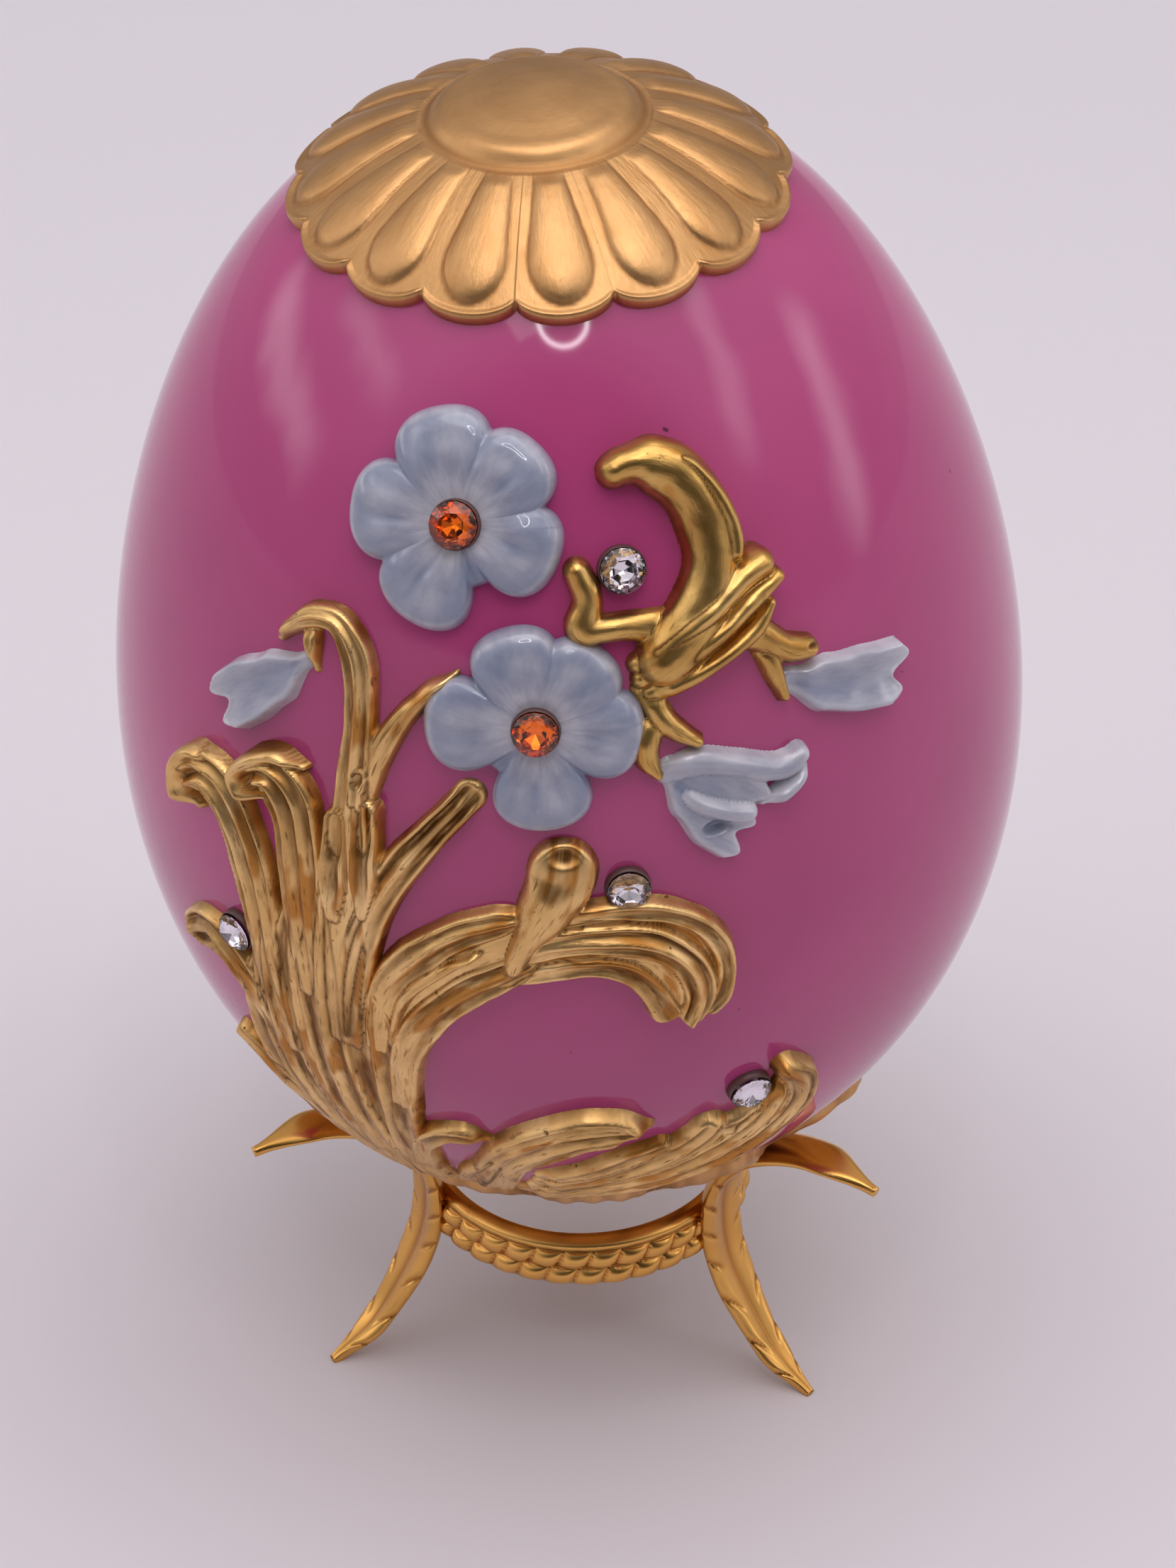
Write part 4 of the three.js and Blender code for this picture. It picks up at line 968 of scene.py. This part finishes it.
def build_leg(name, node, azimuth):
    rows = 140
    t = np.linspace(0, 1, rows)
    here = catmull(LEG_LINE, t)
    ahead = catmull(LEG_LINE, t + 0.005) - catmull(LEG_LINE, t - 0.005)
    ahead = ahead / np.linalg.norm(ahead, axis=1)[:, None]
    inward = np.stack([-ahead[:, 1], ahead[:, 0]], -1)
    t = t[:, None]
    half = half_width(LEG_HALVES, t)
    thick = LEG_THICK * mix(0.5, 1, np.sin(np.pi * t)) * mix(1, 0.8, smooth((t - 0.45) / 0.55))
    a = np.linspace(-1, 1, 41)[None, :]
    # Short slanting cuts run in from both edges, like the veins of a leaf.
    notch = np.clip(np.sin((t * 24 - np.abs(a) * 1.6) * np.pi), 0, 1) ** 8
    notch = notch * smooth((np.abs(a) - 0.35) / 0.35)
    notch = notch * smooth(t / 0.08) * smooth((0.66 - t) / 0.1)
    outer = LEG_GROOVE * np.sin(np.pi * t) * (1 - np.abs(a)) ** 1.2
    outer = outer + 0.35 * thick * np.abs(a) ** 6 + 0.25 * notch
    inner = thick - 0.45 * thick * np.abs(a) ** 4
    depth = np.concatenate([outer, inner[:, ::-1]], axis=1)
    side = np.concatenate([a * half, (a * half)[:, ::-1]], axis=1)
    out = here[:, :1] + inward[:, :1] * depth
    up = np.maximum(here[:, 1:] + inward[:, 1:] * depth, 0.0)
    # Painted shade: this groove mask darkens the leg's middle channel and its notches.
    groove = np.concatenate([(1 - np.abs(a)) ** 4 * 0.7 + 0.9 * notch, 0 * inner], axis=1)
    points = stand_point(out, side, up, azimuth)
    piece = mesh_object(name, points.reshape(-1, 3), loft_faces(rows, side.shape[1]), PLATE,
                        groove=np.clip(groove, 0, 1).ravel())
    finish_piece(piece, "gold_plate", node)


# ---- the studio

CAMERA_DISTANCE = 229.7
CAMERA_ELEVATION = 31.6
CAMERA_ROLL = -0.96
SENSOR_HEIGHT = 24.0
LENS = 48.824593
SHIFT = (0.0127486438, -0.0872965642)
# The floor's half width in metres, and its colour.
FLOOR_REACH = 3.0
FLOOR_COLOUR = (0.71, 0.675, 0.715)
# The lamp over the egg: place and size in metres, power in watts.
LAMP_PLACE = Vector((0.03, -0.06, 0.62))
LAMP_SIZE = (0.5, 0.4)
LAMP_POWER = 0.95
LAMP_COLOUR = (1.0, 0.97, 1.0)
# How bright the light tent is between two heights of the sky.
TENT_COLOUR = (1.0, 0.955, 0.99, 1.0)
TENT_LEVEL = (0.15, 0.92, 0.42, 1.05)
# It is dimmer behind the egg, and dark where the viewer stands: direction, the angles from it
# where dimming starts and is full, and the share left.
TENT_DIM = [((180, 38), 60, 15, 0.62), ((0, 16), 55, 16, 0.12)]
# Soft panels of the tent: the two ends as (degrees round from the front, degrees up),
# the half width in degrees, and how much brighter than the tent.
TENT_PANELS = [
    ((-122, 17), (-78, 14), 8.0, 1.7),
    ((-96, 36), (-62, 33), 7.0, 1.3),
    ((84, 54), (60, 22), 7.0, 1.6),
    ((104, 26), (84, 2), 9.0, 2.0),
]
# Thin bright ring of lamps overhead: direction, angular radius, half thickness, radiance.
LAMP_RING = ((6, 62), 7.0, 1.0, 20.0)


def build_camera():
    data = bpy.data.cameras.new("camera")
    data.sensor_fit = "VERTICAL"
    data.sensor_height = SENSOR_HEIGHT
    data.lens = LENS
    data.shift_x, data.shift_y = SHIFT
    data.clip_start = 0.01
    camera = add_object("camera", data)
    e, roll = math.radians(CAMERA_ELEVATION), math.radians(CAMERA_ROLL)
    ahead = Vector((0, math.cos(e), -math.sin(e)))
    right, up = Vector((1, 0, 0)), Vector((0, math.sin(e), math.cos(e)))
    turned_right = right * math.cos(roll) + up * math.sin(roll)
    turned_up = up * math.cos(roll) - right * math.sin(roll)
    turn = Matrix((turned_right, turned_up, -ahead)).transposed()
    camera.matrix_world = Matrix.Translation(EGG_CENTRE - ahead * CAMERA_DISTANCE * MM) @ turn.to_4x4()
    bpy.context.scene.camera = camera


def build_floor():
    mesh = bpy.data.meshes.new("floor")
    corners = [(-1, -1), (1, -1), (1, 1), (-1, 1)]
    mesh.from_pydata([(x * FLOOR_REACH, y * FLOOR_REACH, FLOOR) for x, y in corners], [], [(0, 1, 2, 3)])
    mesh.materials.append(plain_material("backdrop", FLOOR_COLOUR, Roughness=0.7))
    floor = add_object("floor", mesh)


def build_lamp():
    data = bpy.data.lights.new("overhead", "AREA")
    data.shape = "RECTANGLE"
    data.size, data.size_y = LAMP_SIZE
    data.energy = LAMP_POWER
    data.color = LAMP_COLOUR
    light = add_object("overhead", data)
    light.location = LAMP_PLACE
    light.rotation_euler = (EGG_CENTRE - LAMP_PLACE).to_track_quat("-Z", "Y").to_euler()


def direction(az, el):
    az, el = math.radians(az), math.radians(el)
    return Vector((math.sin(az) * math.cos(el), -math.cos(az) * math.cos(el), math.sin(el)))


def build_tent():
    """Light tent as the sky: its brightness is worked out from the direction looked in."""
    world = bpy.data.worlds.new("tent")
    world.use_nodes = True
    bpy.context.scene.world = world
    tree = world.node_tree
    link = tree.links.new
    toward = tree.nodes.new("ShaderNodeTexCoord").outputs["Generated"]

    def math_node(kind, a, b=None):
        node = tree.nodes.new("ShaderNodeMath")
        node.operation = kind
        for socket, value in zip(node.inputs, (a, b)):
            if isinstance(value, (int, float)):
                socket.default_value = value
            elif value is not None:
                link(value, socket)
        return node.outputs[0]

    def plus(a, b):
        return math_node("ADD", a, b)

    def times(product, *others):
        for other in others:
            product = math_node("MULTIPLY", product, other)
        return product

    def dot(axis):
        node = tree.nodes.new("ShaderNodeVectorMath")
        node.operation = "DOT_PRODUCT"
        link(toward, node.inputs[0])
        node.inputs[1].default_value = tuple(axis)
        return node.outputs["Value"]

    def window(value, low, high, start=0.0, end=1.0):
        node = add(tree, "ShaderNodeMapRange", From_Min=low, From_Max=high, To_Min=start, To_Max=end)
        node.interpolation_type = "SMOOTHSTEP"
        link(value, node.inputs["Value"])
        return node.outputs["Result"]

    def cosine(degrees):
        return math.cos(math.radians(degrees))

    ragged = add(tree, "ShaderNodeTexNoise", Scale=5.0, Detail=3.0)
    link(toward, ragged.inputs["Vector"])
    wander = times(math_node("SUBTRACT", ragged.outputs["Fac"], 0.5), 0.16)

    height = tree.nodes.new("ShaderNodeSeparateXYZ")
    link(toward, height.inputs[0])
    level = window(height.outputs["Z"], *TENT_LEVEL)
    for where, outer, inner, share in TENT_DIM:
        level = times(level, window(dot(direction(*where)), cosine(outer), cosine(inner), 1.0, share))
    for start, end, thin, extra in TENT_PANELS:
        a, b = direction(*start), direction(*end)
        across = math_node("ABSOLUTE", plus(dot(a.cross(b).normalized()), wander))
        reach = math.degrees(a.angle(b)) / 2
        strip = window(across, math.sin(math.radians(thin)), 0.0)
        extent = window(dot((a + b).normalized()), cosine(reach + 6), cosine(reach - 8))
        level = plus(level, times(strip, extent, extra))
    where, radius, thin, radiance = LAMP_RING
    near_ring = dot(direction(*where))
    inside = window(near_ring, cosine(radius + thin), cosine(radius))
    outside = window(near_ring, cosine(radius - thin), cosine(radius))
    level = plus(level, times(inside, outside, radiance))
    background = tree.nodes["Background"]
    background.inputs["Color"].default_value = TENT_COLOUR
    link(level, background.inputs["Strength"])


bpy.context.scene.view_settings.view_transform = "Standard"
build_camera()
build_floor()
build_tent()
build_lamp()
build_egg_body()
build_cap()
build_calyx()
build_relief("acanthus", ACANTHUS, GILT, "gilding", 0.13)
build_relief("scroll", SCROLL, GILT, "gilding", 0.12, SCROLL_PITS)
build_relief("bottom_leaves", BOTTOM_LEAVES, GILT, "gilding", 0.13)
build_relief("branch", BRANCH, BRIGHT_GILT, "gilding", 0.11, BRANCH_PITS)
for index, bell in enumerate(BELLS):
    build_relief("bell_flower_%d" % (index + 1), bell, BLUE, "blue_glaze", 0.11, BELL_PITS)
for flower_name, flower in FLOWERS.items():
    build_flower(flower_name, flower)
for stone_name, stone in STONES.items():
    build_setting("setting_" + stone_name, stone)
    build_stone("cut_" + stone_name, stone, *(AMBER if stone["amber"] else CLEAR))
build_ring()
for index, place in enumerate(("front_left", "front_right", "back")):
    build_leg("cast_leg_" + place, "leg_" + place, math.radians(STAND_TURN - 150 + 120 * index))
